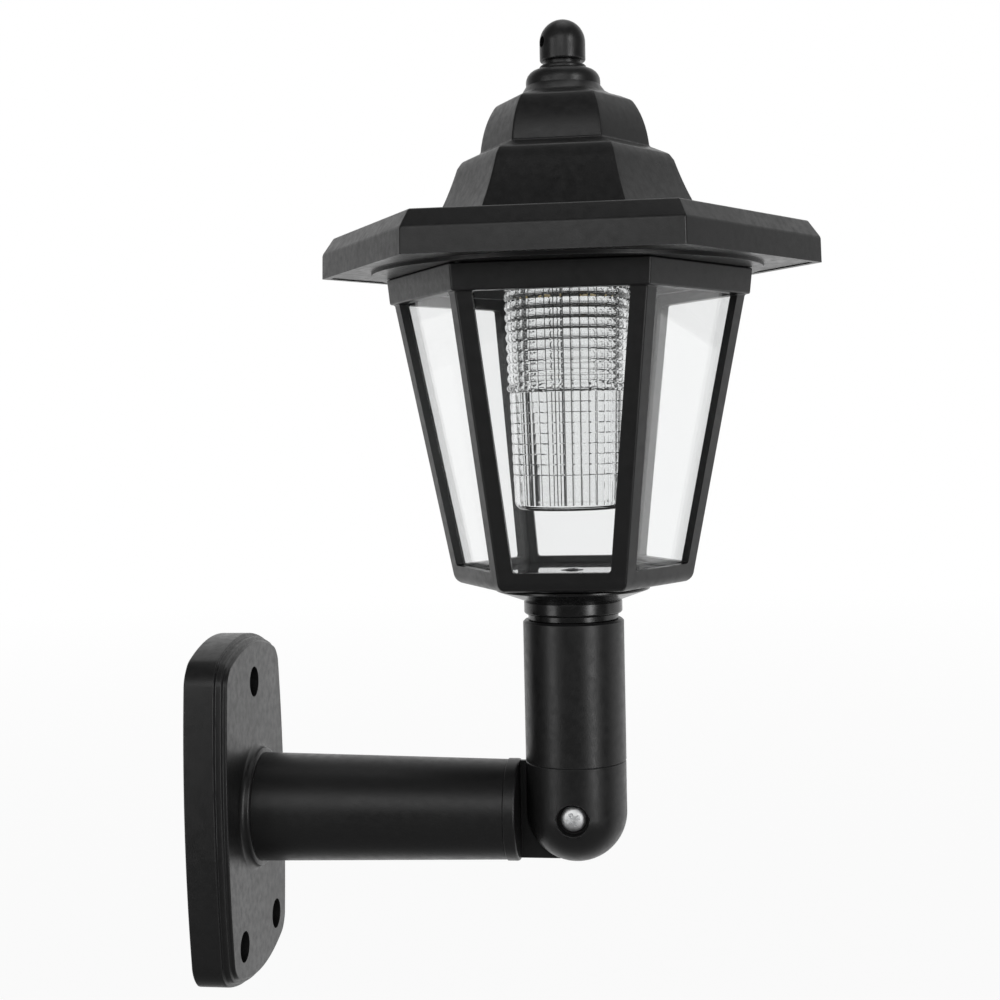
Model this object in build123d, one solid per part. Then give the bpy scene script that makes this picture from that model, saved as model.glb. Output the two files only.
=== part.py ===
from build123d import *
from math import atan2, cos, degrees, pi, radians, sin, tan
import os

# A hexagonal solar coach lantern on a wall bracket, in millimetres.
# The origin is the wall plate's back face on the arm's axis: +X leaves the wall and +Z is up.

# Wall plate
plate_height = 106.0
plate_width = 65.0
plate_side_bow = 3.5
plate_arch = 6.5
plate_corner = 5.0
plate_wall = 2.4
flange_depth = 9.2
step_depth = 1.9
face_depth = 1.3
step_inset = 1.2
face_inset = 2.4
rib = 2.2
pad_radius = 4.0
hole_end_margin = 14.5
hole_side_margin = 15.5
screw_hole_radius = 2.3
counterbore_radius = 4.6
hole_floor = 3.4
boss_wall = 1.8

# Arm and its socket in the plate
arm_reach = 111.0
arm_root_radius = 16.4
arm_end_radius = 14.9
arm_wall = 2.3
arm_end_wall = 2.5
socket_floor = 2.4
socket_floor_start = 2.6
socket_wall = 2.4
root_ring_height = 2.6
root_ring_width = 1.5
root_fillet = 1.6
arm_screw_radius = 1.45
arm_screw_length = 12.5
arm_screw_head = 2.8
arm_screw_head_height = 2.0
arm_boss_radius = 3.4
arm_boss_bite = 0.6

# Half lap elbow
arm_ear_radius = 14.8
post_radius = 15.0
lap_gap = 0.2
turn_room = 0.5
collar_room = 1.9
collar_length = 3.7
collar_rise = 0.3
spigot_length = 17.0
spigot_wall = 2.5
pivot_radius = 2.0
pivot_play = 0.2
pivot_head_radius = 3.75
pivot_head_height = 2.7
pivot_head_seat = 10.0
pivot_counterbore_radius = 4.75
nut_flats = 7.0
nut_height = 3.2
nut_seat = 9.0
thread_gap = 0.05

# Post tube and the turning neck
tube_length = 42.2
tube_wall = 2.4
tube_chamfer = 0.6
spigot_gap = 0.05
neck_spigot_length = 18.0
neck_groove = 1.8
neck_groove_depth = 1.6
neck_collar_inset = 0.4
neck_collar_height = 4.0
neck_cone_height = 3.1
neck_flange_radius = 22.9
neck_flange_height = 0.8
neck_plinth_radius = 21.0
neck_plinth_height = 1.1
neck_screw_radius = 1.45
neck_screw_length = 10.0
neck_screw_head = 2.8
neck_screw_head_height = 1.9
neck_boss_radius = 4.0

# Lantern frame, measured to the corners of the hexagon
frame_base_radius = 35.4
frame_top_radius = 52.0
frame_height = 83.6
frame_wall = 2.4
frame_floor = 2.4
frame_foot_fillet = 3.4
corner_bar = 4.5
sill_height = 5.6
band_height = 7.5
band_step = 1.4
band_flare = 0.8
window_corner = 0.8

# Clear liner and the ring that locks the lamp unit into the frame
liner_gap = 0.15
liner_wall = 1.3
liner_floor = 1.3
liner_screw_hole = 3.4
lock_ring_height = 2.0
lock_ring_width = 3.85
lug_count = 3
lug_reach = 1.7
lug_height = 2.2
lug_angle = 16.0
notch_angle = 20.0
unlock_angle = 18.0
lock_play = 0.2

# Roof shell, measured to the corners of the hexagon
brim_radius = 74.0
brim_draft = 0.2
brim_height = 7.2
brim_chamfer = 5.0
brim_chamfer_width = 3.7
roof_wall = 2.3
flare_foot_radius = 41.5
flare_mid_radius = 36.4
flare_mid_height = 21.0
flare_top_radius = 32.2
flare_top_height = 31.0
flare_inset = 1.4
ledge_foot_radius = 30.7
ledge_foot_height = 33.0
dome_foot_radius = 25.1
dome_foot_height = 35.3
dome_mid_radius = 23.4
dome_mid_height = 43.0
dome_top_radius = 20.2
dome_top_height = 48.9
peak_radius = 17.0
peak_height = 50.2
cap_radius = 10.9
cap_foot_height = 53.7
cap_height = 4.8
cap_round = 3.6
cap_ring_radius = 6.9
cap_ring_height = 1.3

# Finial
finial_radius = 6.7
finial_bottom = 60.9
finial_top = 73.1
finial_neck_radius = 5.1
finial_stem_radius = 2.5
finial_lip = 0.6
hang_hole_radius = 1.6
hang_hole_angle = 210.0
finial_nut_flats = 8.0
finial_nut_height = 4.0

# Base plate under the roof
disc_margin = 4.0
disc_height = 1.1
base_recess = 0.3
base_thickness = 2.2
base_gap = 0.3
skirt_wall = 2.2
lock_collar_wall = 2.0
lock_collar_depth = 4.6
base_screw_margin = 7.0
base_screw_radius = 1.2
base_screw_head = 2.5
base_screw_head_height = 1.7
base_screw_length = 7.5
roof_boss_radius = 3.4

# Prismatic diffuser cup
cup_top_radius = 18.45
cup_bottom_radius = 16.5
cup_wall = 1.6
cup_floor = 1.8
cup_depth = 70.0
cup_flange_width = 4.0
cup_flange_height = 1.5
cup_gap = 0.3
cup_corner = 2.6
ring_pitch = 3.0
upper_rings = 10
lower_rings = 9
upper_ring_bulge = 0.55
lower_ring_bulge = 0.3
ring_groove = 0.35
bead_drop = 34.2
bead_height = 2.2
bead_bulge = 0.85
flute_count = 40
flute_depth = 0.45

# Lamp unit above the base plate
board_thickness = 1.6
board_post_radius = 2.0
board_post_gap = 0.6
board_post_start = 30.0
board_screw_radius = 0.9
board_screw_head = 1.8
board_screw_head_height = 1.2
board_screw_length = 3.6
led_radius = 2.5
led_body = 5.5
led_rim = 2.9
led_offset = 7.0
battery_radius = 5.25
battery_length = 43.5
battery_tip = 1.0
battery_tip_radius = 1.9
cradle_floor_height = 9.0
cradle_wall = 1.6
cradle_gap = 0.2
spring_room = 4.7
cradle_side = 7.5
contact_thickness = 0.4
spring_wire = 0.35
spring_big = 3.6
spring_small = 2.4
spring_turns = 3
cradle_leg_gap = 2.0
cradle_leg = 4.0
cradle_leg_width = 9.0
cradle_screw_radius = 1.2
cradle_screw_head = 2.4
cradle_screw_length = 9.0
chip_length = 4.0
chip_width = 3.2
chip_height = 1.6
coil_radius = 1.6
coil_length = 6.5

# Solar panels in the flat of the brim
panel_length = 42.0
panel_margin = 2.9
panel_thickness = 2.0
panel_gap = 0.2
tray_wall = 2.2
lead_hole_radius = 1.5

# Slide switch
switch_gap = 2.6
switch_length = 8.6
switch_width = 3.8
switch_height = 3.8
switch_travel = 2.0
slider_length = 3.2
slider_width = 1.6
slider_height = 1.8
knob_length = 1.8
knob_drop = 1.6
slider_gap = 0.15

# Widths that follow
plate_end_width = plate_width - 2 * plate_side_bow
hole_height = plate_height - 2 * hole_end_margin
hole_spacing = plate_width - 2 * hole_side_margin
arm_bore_radius = arm_end_radius - arm_wall
arm_screw_circle = arm_bore_radius - arm_boss_radius + arm_boss_bite
collar_radius = arm_end_radius + collar_rise
arm_shoulder = post_radius + collar_room
post_shoulder = arm_ear_radius + turn_room
tube_bore_radius = post_radius - tube_wall
neck_seat_radius = post_radius - neck_groove_depth
neck_collar_radius = post_radius - neck_collar_inset
cup_flange_radius = cup_top_radius + cup_flange_width
board_post_circle = cup_flange_radius + board_post_gap + board_post_radius
board_radius = board_post_circle + board_post_radius
cradle_leg_offset = board_radius + cradle_leg_gap + cradle_leg / 2
switch_offset = board_radius + switch_gap + switch_width / 2

# Heights that follow, all from the arm's axis
plate_depth = flange_depth + step_depth + face_depth
arm_start = socket_floor_start + socket_floor + 0.1
arm_end = arm_reach - arm_shoulder - collar_length
tube_top = post_shoulder + tube_length
neck_collar_low = tube_top + neck_groove
neck_collar_high = neck_collar_low + neck_collar_height
neck_flange_low = neck_collar_high + neck_cone_height
frame_low = neck_flange_low + neck_flange_height + neck_plinth_height
band_low = frame_low + frame_height
frame_top = band_low + band_height
disc_low = frame_top + 0.1
base_low = disc_low + disc_height
base_top = base_low + base_thickness
brim_low = base_low - base_recess
brim_top = brim_low + brim_height + brim_chamfer
cup_low = brim_low - cup_depth
cup_top = base_top + cup_flange_height
board_low = cup_top + 0.2
board_top = board_low + board_thickness
cradle_low = base_top + cradle_floor_height - base_thickness
battery_height = cradle_low + cradle_wall + cradle_gap + battery_radius

TO_APOTHEM = cos(radians(30))
FROM_LOW = (Align.CENTER, Align.CENTER, Align.MIN)
FROM_TOP = (Align.CENTER, Align.CENTER, Align.MAX)
LANTERN_AXIS = Pos(arm_reach, 0, 0)


def save(name, *solids):
    """Write one piece, or a group of like pieces, as one file."""
    shape = solids[0] if len(solids) == 1 else Compound(children=list(solids))
    export_step(shape, f"parts/{name}.step")


def rod(radius, low, high):
    """An upright round bar between two heights."""
    return Pos(0, 0, low) * Cylinder(radius, high - low, align=FROM_LOW)


def pipe(outer, inner, low, high):
    """An upright round tube between two heights."""
    return rod(outer, low, high) - rod(inner, low, high)


def turned(*points):
    """Turn a closed outline of (radius, height) points about the upright axis."""
    return revolve(make_face(Plane.XZ * Polyline(*points, close=True)), Axis.Z)


def along_x(shape):
    """Lay a shape that was drawn upright along the arm."""
    return Rot(0, 90, 0) * shape


def along_y(shape):
    """Lay a shape that was drawn upright along the elbow's pivot."""
    return Rot(-90, 0, 0) * shape


def hexagonal(edges):
    """The solid whose six flat sides all follow one outline of (distance to side, height).

    The outline starts and ends on the axis. Three mirrored extrusions meet in mitred corners.
    """
    half = make_face(Plane.XZ * edges)
    strip = extrude(half + mirror(half, Plane.YZ), 100, both=True)
    return (Rot(0, 0, 30) * strip) & (Rot(0, 0, 90) * strip) & (Rot(0, 0, 150) * strip)


def hexagonal_cup(low, low_side, high, high_side):
    """A tapered solid hexagon between two heights."""
    return hexagonal(Polyline((0, low), (low_side, low), (high_side, high), (0, high), close=True))


def self_tapping_screw(head_radius, head_height, radius, length):
    """A pan head screw that hangs head up at height zero, with a cross recess."""
    head = rod(head_radius, 0, head_height)
    head = fillet(head.edges().sort_by(Axis.Z)[-1], 0.45 * head_height)
    slot = Box(1.3 * head_radius, 0.3 * head_radius, 0.9 * head_height)
    cross = Pos(0, 0, head_height) * (slot + Rot(0, 0, 90) * slot)
    shank = rod(radius, -length, 0)
    tip = chamfer(shank.edges().sort_by(Axis.Z)[0], 0.5 * radius)
    return head - cross + tip


# The moulded wall plate: arched ends, a double step round its face and a ribbed hollow back
def plate_outline(inset):
    """The barrel-sided outline with arched ends, seen from the room."""
    top = plate_height / 2 - inset
    corner = plate_height / 2 - plate_arch - inset
    side = plate_width / 2 - inset
    end = plate_end_width / 2 - inset
    edges = [
        ThreePointArc((-end, corner), (0, top), (end, corner)),
        ThreePointArc((end, corner), (side, 0), (end, -corner)),
        ThreePointArc((end, -corner), (0, -top), (-end, -corner)),
        ThreePointArc((-end, -corner), (-side, 0), (-end, corner)),
    ]
    outline = make_face(edges)
    return Plane.YZ * fillet(outline.vertices(), max(plate_corner - inset, 1.0))


def plate_layer(inset, start, depth):
    """One slab of the plate's outline, standing off the wall."""
    return Pos(start, 0, 0) * extrude(plate_outline(inset), depth)


def screw_places():
    """Places of the three wall screws: one above the arm and two below it."""
    return [
        (0, hole_height / 2),
        (-hole_spacing / 2, -hole_height / 2),
        (hole_spacing / 2, -hole_height / 2),
    ]


def arm_screw_places():
    """Places of the two screws that pull the arm into its socket."""
    reach = arm_screw_circle * cos(radians(45))
    return [(reach, reach), (-reach, -reach)]


def across_wall(places, shape):
    """Copies of an upright shape, laid along the arm at places across the wall."""
    return [Pos(0, y, z) * along_x(shape) for y, z in places]


def wall_plate():
    socket_radius = arm_root_radius + spigot_gap
    flange = plate_layer(0, 0, flange_depth)
    step = plate_layer(step_inset, flange_depth, step_depth)
    face = plate_layer(face_inset, flange_depth + step_depth, face_depth)
    face = fillet(face.edges().group_by(Axis.X)[-1], 0.5)
    flange = fillet(flange.edges().group_by(Axis.X)[-1], 0.6)
    body = flange + step + face
    body -= plate_layer(plate_wall, 0, flange_depth - plate_wall)
    body -= plate_layer(face_inset + plate_wall, 0, plate_depth - plate_wall)

    rib_depth = plate_depth - plate_wall
    upright = Pos(rib_depth / 2, 0, 0) * Box(rib_depth, rib, plate_height - 2 * plate_wall)
    level = Pos(rib_depth / 2, 0, 0) * Box(rib_depth, plate_width - 2 * plate_wall, rib)
    low_rib = Pos(rib_depth / 2, 0, -hole_height / 2) * Box(rib_depth, hole_spacing, rib)
    body += upright + level + low_rib
    boss = rod(counterbore_radius + boss_wall, 0, plate_depth - plate_wall)
    for one in across_wall(screw_places(), boss):
        body += one

    ring_radius = socket_radius + root_ring_width
    ring_top = plate_depth + root_ring_height
    root = rod(ring_radius, plate_depth - 1, ring_top)
    root = fillet(root.edges().sort_by(Axis.Z)[-1], 0.9)
    swell = root_fillet + ring_radius
    foot = turned((0, plate_depth - 0.5), (swell, plate_depth - 0.5), (swell, plate_depth),
                  (ring_radius, plate_depth + root_fillet), (0, plate_depth + root_fillet))
    body += along_x(root + foot)
    body += along_x(rod(socket_radius + socket_wall, socket_floor_start, plate_depth))
    body += along_x(rod(pad_radius, 0, socket_floor_start))
    body -= along_x(rod(socket_radius, socket_floor_start + socket_floor, ring_top))

    bore = rod(counterbore_radius, hole_floor, plate_depth) + rod(screw_hole_radius, 0, hole_floor)
    for one in across_wall(screw_places(), bore):
        body -= one
    clearance = rod(arm_screw_radius + 0.2, 0, socket_floor_start + socket_floor)
    clearance += rod(arm_screw_head + 0.3, 0, socket_floor_start)
    for one in across_wall(arm_screw_places(), clearance):
        body -= one
    return body


# The hollow tapered arm, closed at the wall end, and its two screws
def arm_tube():
    ring_top = plate_depth + root_ring_height
    body = turned((0, arm_start), (arm_root_radius, arm_start), (arm_root_radius, ring_top),
                  (arm_end_radius, arm_end), (0, arm_end))
    body -= rod(arm_bore_radius, arm_start + arm_end_wall, arm_end)
    body = along_x(body)
    reach = arm_start + arm_screw_length + 1.0
    for one in across_wall(arm_screw_places(), rod(arm_boss_radius, arm_start, reach)):
        body += one
    for one in across_wall(arm_screw_places(), rod(arm_screw_radius + thread_gap, arm_start, reach - 0.5)):
        body -= one
    return body


def arm_screws():
    screw = self_tapping_screw(arm_screw_head, arm_screw_head_height, arm_screw_radius, arm_screw_length)
    seated = Pos(0, 0, socket_floor_start) * Rot(180, 0, 0) * screw
    return across_wall(arm_screw_places(), seated)


# The elbow: two half-round ears that lap on one another and a screw through both
def ear(radius, length, side):
    """Half of a round-ended bar: its flat side faces the lap, its round end centres on the pivot."""
    bar = rod(radius, 0, length) + Sphere(radius)
    depth = 2 * radius
    keep = Box(2 * depth, depth, 4 * depth, align=(Align.CENTER, Align.MIN, Align.CENTER))
    away = Pos(0, lap_gap / 2, 0) * keep
    return bar & (away if side > 0 else mirror(away, Plane.XZ))


def hexagon_rod(flats, low, high):
    """An upright hexagonal bar, as of a nut."""
    side = flats / 2 / TO_APOTHEM
    return Pos(0, 0, low) * extrude(RegularPolygon(side, 6), high - low)


def arm_knuckle():
    start = arm_reach - arm_shoulder
    body = rod(collar_radius, start - collar_length, start)
    body = fillet(body.edges().sort_by(Axis.Z)[-1], 0.8)
    spigot_radius = arm_bore_radius - spigot_gap
    body += rod(spigot_radius, start - collar_length - spigot_length, start - collar_length)
    body -= rod(spigot_radius - spigot_wall, start - collar_length - spigot_length, start - collar_length)
    body = along_x(body)
    body += Pos(arm_reach, 0, 0) * Rot(0, -90, 0) * ear(arm_ear_radius, arm_shoulder, 1)
    pivot = rod(pivot_radius + pivot_play / 2, -arm_ear_radius, arm_ear_radius)
    pocket = hexagon_rod(nut_flats + 0.2, nut_seat, arm_ear_radius + 1)
    return body - Pos(arm_reach, 0, 0) * along_y(pivot + pocket)


def post_knuckle():
    body = ear(post_radius, post_shoulder, -1)
    spigot_radius = tube_bore_radius - spigot_gap
    body += rod(spigot_radius, post_shoulder, post_shoulder + spigot_length)
    body -= rod(spigot_radius - spigot_wall, post_shoulder + 4, post_shoulder + spigot_length)
    hole = rod(pivot_radius + pivot_play, -post_radius, 0)
    hole += rod(pivot_counterbore_radius, -post_radius - 1, -pivot_head_seat)
    return body - along_y(hole)


def pivot_screw():
    tail = nut_seat + nut_height
    seat = -pivot_head_seat - 0.05
    screw = self_tapping_screw(pivot_head_radius, pivot_head_height, pivot_radius, tail - seat)
    return Pos(arm_reach, 0, 0) * Rot(90, 0, 0) * Pos(0, 0, -seat) * screw


def pivot_nut():
    nut = hexagon_rod(nut_flats, nut_seat + 0.05, nut_seat + nut_height)
    nut -= rod(pivot_radius + thread_gap, nut_seat, nut_seat + nut_height)
    return Pos(arm_reach, 0, 0) * along_y(nut)


# The post and the neck that turns in it
def post_tube():
    tube = rod(post_radius, post_shoulder, tube_top)
    tube = chamfer(tube.edges().sort_by(Axis.Z)[-1], tube_chamfer)
    return tube - rod(tube_bore_radius, post_shoulder, tube_top)


def neck_adapter():
    spigot_radius = tube_bore_radius - spigot_gap
    spigot_low = tube_top - neck_spigot_length
    core_top = neck_collar_low + 1.5
    body = turned(
        (0, spigot_low), (spigot_radius - 0.6, spigot_low), (spigot_radius, spigot_low + 1.5),
        (spigot_radius, tube_top + 0.1), (neck_seat_radius, tube_top + 0.1),
        (neck_seat_radius, neck_collar_low), (neck_collar_radius - 0.5, neck_collar_low),
        (neck_collar_radius, neck_collar_low + 0.5), (neck_collar_radius, neck_collar_high - 0.3),
        (neck_collar_radius - 0.3, neck_collar_high), (neck_flange_radius, neck_flange_low),
        (neck_flange_radius, neck_flange_low + neck_flange_height),
        (neck_plinth_radius, neck_flange_low + neck_flange_height),
        (neck_plinth_radius, frame_low), (0, frame_low),
    )
    body -= rod(spigot_radius - spigot_wall, spigot_low, core_top)
    screw_depth = neck_screw_length - frame_floor + 0.5
    body += rod(neck_boss_radius, frame_low - screw_depth - 1, frame_low)
    return body - rod(neck_screw_radius + thread_gap, frame_low - screw_depth, frame_low)


def neck_screw():
    screw = self_tapping_screw(neck_screw_head, neck_screw_head_height, neck_screw_radius, neck_screw_length)
    return Pos(0, 0, frame_low + frame_floor) * screw


# The open lantern cage: six leaning corner bars between a floor and a hexagonal band
def frame_side(height):
    """Distance from the axis to the cage's outer side at a height."""
    share = (height - frame_low) / frame_height
    radius = frame_base_radius + share * (frame_top_radius - frame_base_radius)
    return radius * TO_APOTHEM


def frame_inside(height):
    """Distance from the axis to the cage's inner side at a height."""
    return frame_side(height) - frame_wall


def window(inner, outer):
    """One window's opening, as a prism through the side that faces +X."""
    low = frame_low + sill_height
    low_half = frame_side(low) * tan(radians(30)) - corner_bar
    high_half = frame_side(band_low) * tan(radians(30)) - corner_bar
    corners = [(-low_half, low), (low_half, low), (high_half, band_low), (-high_half, band_low)]
    shape = Polygon(*corners, align=None)
    shape = fillet(shape.vertices(), window_corner)
    return Pos(inner, 0, 0) * extrude(Plane.YZ * shape, outer - inner)


def lantern_frame():
    cage = hexagonal_cup(frame_low, frame_side(frame_low), band_low, frame_side(band_low))
    cage = fillet(cage.edges().group_by(Axis.Z)[0], frame_foot_fillet)
    band = (frame_top_radius + band_step) * TO_APOTHEM
    cage += hexagonal_cup(band_low, band, frame_top, band + band_flare * TO_APOTHEM)
    floor_top = frame_low + frame_floor
    cage -= hexagonal_cup(floor_top, frame_inside(floor_top), frame_top, frame_inside(frame_top))
    opening = window(frame_side(frame_low) - 12, frame_side(frame_top) + 4)
    for angle in range(30, 390, 60):
        cage -= Rot(0, 0, angle) * opening
    return cage - rod(neck_screw_radius + 0.3, frame_low, floor_top)


# The clear hexagonal cup that glazes the cage
def liner_top():
    return frame_top - lock_ring_height - 0.1


def clear_liner():
    low = frame_low + frame_floor + 0.1
    high = liner_top() - 0.1
    skin = liner_gap + liner_wall
    cup = hexagonal_cup(low, frame_inside(low) - liner_gap, high, frame_inside(high) - liner_gap)
    inside = low + liner_floor
    cup -= hexagonal_cup(inside, frame_inside(inside) - skin, high, frame_inside(high) - skin)
    return cup - rod(liner_screw_hole, low, inside)


def sector(radius, angle, low, high):
    """A wedge of a round bar, centred on +X."""
    half = radians(angle / 2)
    corners = [(0, 0), (2 * radius * cos(half), -2 * radius * sin(half)),
               (2 * radius * cos(half), 2 * radius * sin(half))]
    wedge = Pos(0, 0, low) * extrude(Polygon(*corners, align=None), high - low)
    return rod(radius, low, high) & wedge


def lock_hole_radius():
    """The round hole in the lock ring that takes the lamp unit's collar."""
    return frame_inside(frame_top) - liner_gap - lock_ring_width


def lock_collar_radius():
    return lock_hole_radius() - lock_play


def lock_ring():
    low = liner_top()
    high = frame_top - 0.1
    ring = hexagonal_cup(low, frame_inside(low) - liner_gap, high, frame_inside(high) - liner_gap)
    ring -= rod(lock_hole_radius(), low, high)
    for turn in range(lug_count):
        notch = sector(lock_collar_radius() + lug_reach + lock_play, notch_angle, low, high)
        ring -= Rot(0, 0, 360 / lug_count * turn + unlock_angle) * notch
    return ring


# The roof: a broad brim, a flared tier, a domed tier and a small round cap
def at_corner(radius, height):
    """A point of the flat sides' outline, from its distance to the corner and height over the brim."""
    return (radius * TO_APOTHEM, brim_low + height)


def brim_points():
    """The brim's outer outline from its lower edge to the inner edge of its chamfer."""
    top_radius = brim_radius - brim_draft
    return [
        at_corner(brim_radius, 0),
        at_corner(top_radius, brim_height),
        at_corner(top_radius - brim_chamfer_width, brim_height + brim_chamfer),
    ]


def roof_outline():
    """Outer outline of the roof's flat sides: brim, concave flare, ledge, convex dome and peak."""
    flare_foot = at_corner(flare_foot_radius, brim_height + brim_chamfer)
    flare_top = at_corner(flare_top_radius, flare_top_height)
    dome_foot = at_corner(dome_foot_radius, dome_foot_height)
    dome_top = at_corner(dome_top_radius, dome_top_height)
    brim = Polyline((0, brim_low), *brim_points(), flare_foot)
    flare = ThreePointArc(flare_foot, at_corner(flare_mid_radius, flare_mid_height), flare_top)
    ledge = Polyline(flare_top, at_corner(ledge_foot_radius, ledge_foot_height), dome_foot)
    dome = ThreePointArc(dome_foot, at_corner(dome_mid_radius, dome_mid_height), dome_top)
    peak_edge = at_corner(peak_radius, peak_height)
    peak = Polyline(dome_top, peak_edge, (0, peak_edge[1]), (0, brim_low))
    return brim + flare + ledge + dome + peak


def ceiling():
    """Height of the brim's underside inside the roof."""
    return brim_top - roof_wall


def roof_hollow():
    """The room inside the roof, which follows brim, flare and dome at the wall's thickness."""
    low_edge, high_edge, chamfer_edge = brim_points()
    chamfer_share = roof_wall / brim_chamfer
    shoulder = chamfer_edge[0] + chamfer_share * (high_edge[0] - chamfer_edge[0]) - skirt_wall
    room = hexagonal(Polyline(
        (0, brim_low), (low_edge[0] - skirt_wall, brim_low), (high_edge[0] - skirt_wall, high_edge[1] - 1),
        (shoulder, ceiling()), (0, ceiling()), close=True,
    ))
    flare_foot = (flare_foot_radius - flare_inset) * TO_APOTHEM - roof_wall
    flare_mid = flare_mid_radius * TO_APOTHEM - roof_wall
    flare_top = flare_top_radius * TO_APOTHEM - roof_wall
    dome_side = (dome_mid_radius * TO_APOTHEM) - roof_wall
    mid_height = brim_low + flare_mid_height
    ledge_low = brim_low + flare_top_height - 1
    dome_high = brim_low + dome_top_height - roof_wall
    room += hexagonal_cup(ceiling() - 0.1, flare_foot, mid_height, flare_mid)
    room += hexagonal_cup(mid_height - 0.1, flare_mid, ledge_low, flare_top)
    room += hexagonal_cup(ledge_low - 0.1, dome_side, brim_low + dome_mid_height, dome_side)
    dome_top_side = dome_top_radius * TO_APOTHEM - roof_wall
    return room + hexagonal_cup(brim_low + dome_mid_height - 0.1, dome_side, dome_high, dome_top_side)


def round_cap():
    """The shallow cone, quarter-round cap and small ring under the finial."""
    foot = brim_low + cap_foot_height
    peak = peak_radius * TO_APOTHEM - 0.1
    hollow_top = brim_low + dome_top_height - roof_wall
    cone = turned(
        (0, hollow_top), (peak, hollow_top), (peak, brim_low + peak_height),
        (cap_radius + 1.6, foot - 1.2), (cap_radius, foot), (0, foot),
    )
    cap = rod(cap_radius, foot - 1, foot + cap_height)
    cap = fillet(cap.edges().sort_by(Axis.Z)[-1], cap_round)
    ring = rod(cap_ring_radius, foot + cap_height - 1, cap_ring_top())
    ring = fillet(ring.edges().sort_by(Axis.Z)[-1], 0.7)
    return cone + cap + ring


def cap_ring_top():
    return brim_low + cap_foot_height + cap_height + cap_ring_height


def base_screw_places():
    """Three screws through the base plate, under the corners of the disc."""
    circle = disc_radius() - base_screw_margin
    return [Rot(0, 0, 120 * turn) * Pos(circle, 0, 0) for turn in range(3)]


def panel_side():
    """The strip of flat brim that a solar panel fills: its width and its distance from the axis."""
    inner = flare_foot_radius * TO_APOTHEM + panel_margin
    outer = brim_points()[2][0] - panel_margin
    return outer - inner, (outer + inner) / 2


def panel_places():
    """The two opposite sides of the brim that carry a solar panel."""
    offset = panel_side()[1]
    return [Rot(0, 0, turn) * Pos(0, -offset, 0) for turn in (0, 180)]


def roof_shell():
    shell = hexagonal(roof_outline()) - roof_hollow() + round_cap()
    pocket_depth = panel_thickness + panel_gap
    pocket_length = panel_length + 2 * panel_gap
    pocket_width = panel_side()[0] + 2 * panel_gap
    tray_length = pocket_length + 2 * tray_wall
    tray_width = pocket_width + 2 * tray_wall
    tray = Box(tray_length, tray_width, pocket_depth + tray_wall, align=FROM_TOP)
    pocket = Box(pocket_length, pocket_width, pocket_depth, align=FROM_TOP)
    lead_hole = rod(lead_hole_radius, -pocket_depth - tray_wall, 0)
    for place in panel_places():
        shell += place * Pos(0, 0, brim_top) * tray
    for place in base_screw_places():
        shell += place * rod(roof_boss_radius, base_top, ceiling() + 0.5)
    for place in panel_places():
        shell -= place * Pos(0, 0, brim_top) * (pocket + lead_hole)
    for place in base_screw_places():
        shell -= place * rod(base_screw_radius + thread_gap, base_top, ceiling() - 1)
    stem_hole = rod(finial_stem_radius + thread_gap, brim_low + dome_mid_height, brim_low + finial_bottom)
    return shell - stem_hole


def solar_panels():
    panel = Box(panel_length, panel_side()[0], panel_thickness, align=FROM_TOP)
    return [place * Pos(0, 0, brim_top - panel_gap) * panel for place in panel_places()]


# The finial: a domed knob with a cross hole to hang the lantern by
def finial():
    low = brim_low + finial_bottom
    crown = brim_low + finial_top - finial_radius
    knob = rod(finial_radius, low, crown)
    knob = fillet(knob.edges().sort_by(Axis.Z)[0], finial_lip)
    knob += Pos(0, 0, crown) * Sphere(finial_radius)
    knob += rod(finial_neck_radius, cap_ring_top() + 0.05, low + 1)
    knob += rod(finial_stem_radius, nut_top() - finial_nut_height - 1, low + 1)
    hole = Rot(0, 0, hang_hole_angle) * along_x(rod(hang_hole_radius, -2 * finial_radius, 2 * finial_radius))
    return knob - Pos(0, 0, crown) * hole


def nut_top():
    """Height of the ceiling inside the dome, where the finial's nut clamps."""
    return brim_low + dome_top_height - roof_wall - 0.05


def finial_nut():
    nut = hexagon_rod(finial_nut_flats, nut_top() - finial_nut_height, nut_top())
    return nut - rod(finial_stem_radius + thread_gap, nut_top() - finial_nut_height, nut_top())


# The base plate that closes the roof and locks into the cage
def base_side():
    """Distance from the axis to the base plate's sides, inside the brim's skirt."""
    return brim_points()[1][0] - skirt_wall - base_gap


def disc_radius():
    """Radius of the round step under the base plate."""
    return base_side() - disc_margin


def lock_collar():
    """The round collar and its lugs, which reach into the lock ring and turn under it."""
    low = disc_low - lock_collar_depth
    outer = lock_collar_radius()
    collar = pipe(outer, outer - lock_collar_wall, low, disc_low + 1)
    lug = sector(outer + lug_reach, lug_angle, low, low + lug_height)
    lug -= rod(outer - 1, low, low + lug_height)
    for turn in range(lug_count):
        collar += Rot(0, 0, 360 / lug_count * turn) * lug
    return collar


def base_plate():
    plate = hexagonal_cup(base_low, base_side(), base_top, base_side())
    plate += rod(disc_radius(), disc_low, base_low + 1)
    plate += lock_collar()
    plate -= rod(cup_radius(base_top) + cup_gap, disc_low, base_top)
    for place in board_post_places():
        plate += place * rod(board_post_radius, base_top - 1, board_low - 0.1)
    for place in board_post_places():
        plate -= place * rod(board_screw_radius + thread_gap, base_top - 1, board_low)
    access_low = disc_low - lock_collar_depth
    head_room = base_screw_head_height + 0.2
    hole = rod(base_screw_radius + 0.2, disc_low, base_top)
    hole += rod(base_screw_head + 0.3, access_low, disc_low + head_room)
    for place in base_screw_places() + cradle_screw_places():
        plate -= place * hole
    slot_length = knob_length + switch_travel + 2 * slider_gap
    slot = Box(slot_length, slider_width + 2 * slider_gap, base_top - access_low, align=FROM_LOW)
    return plate - Pos(0, switch_offset, access_low) * slot


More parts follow.
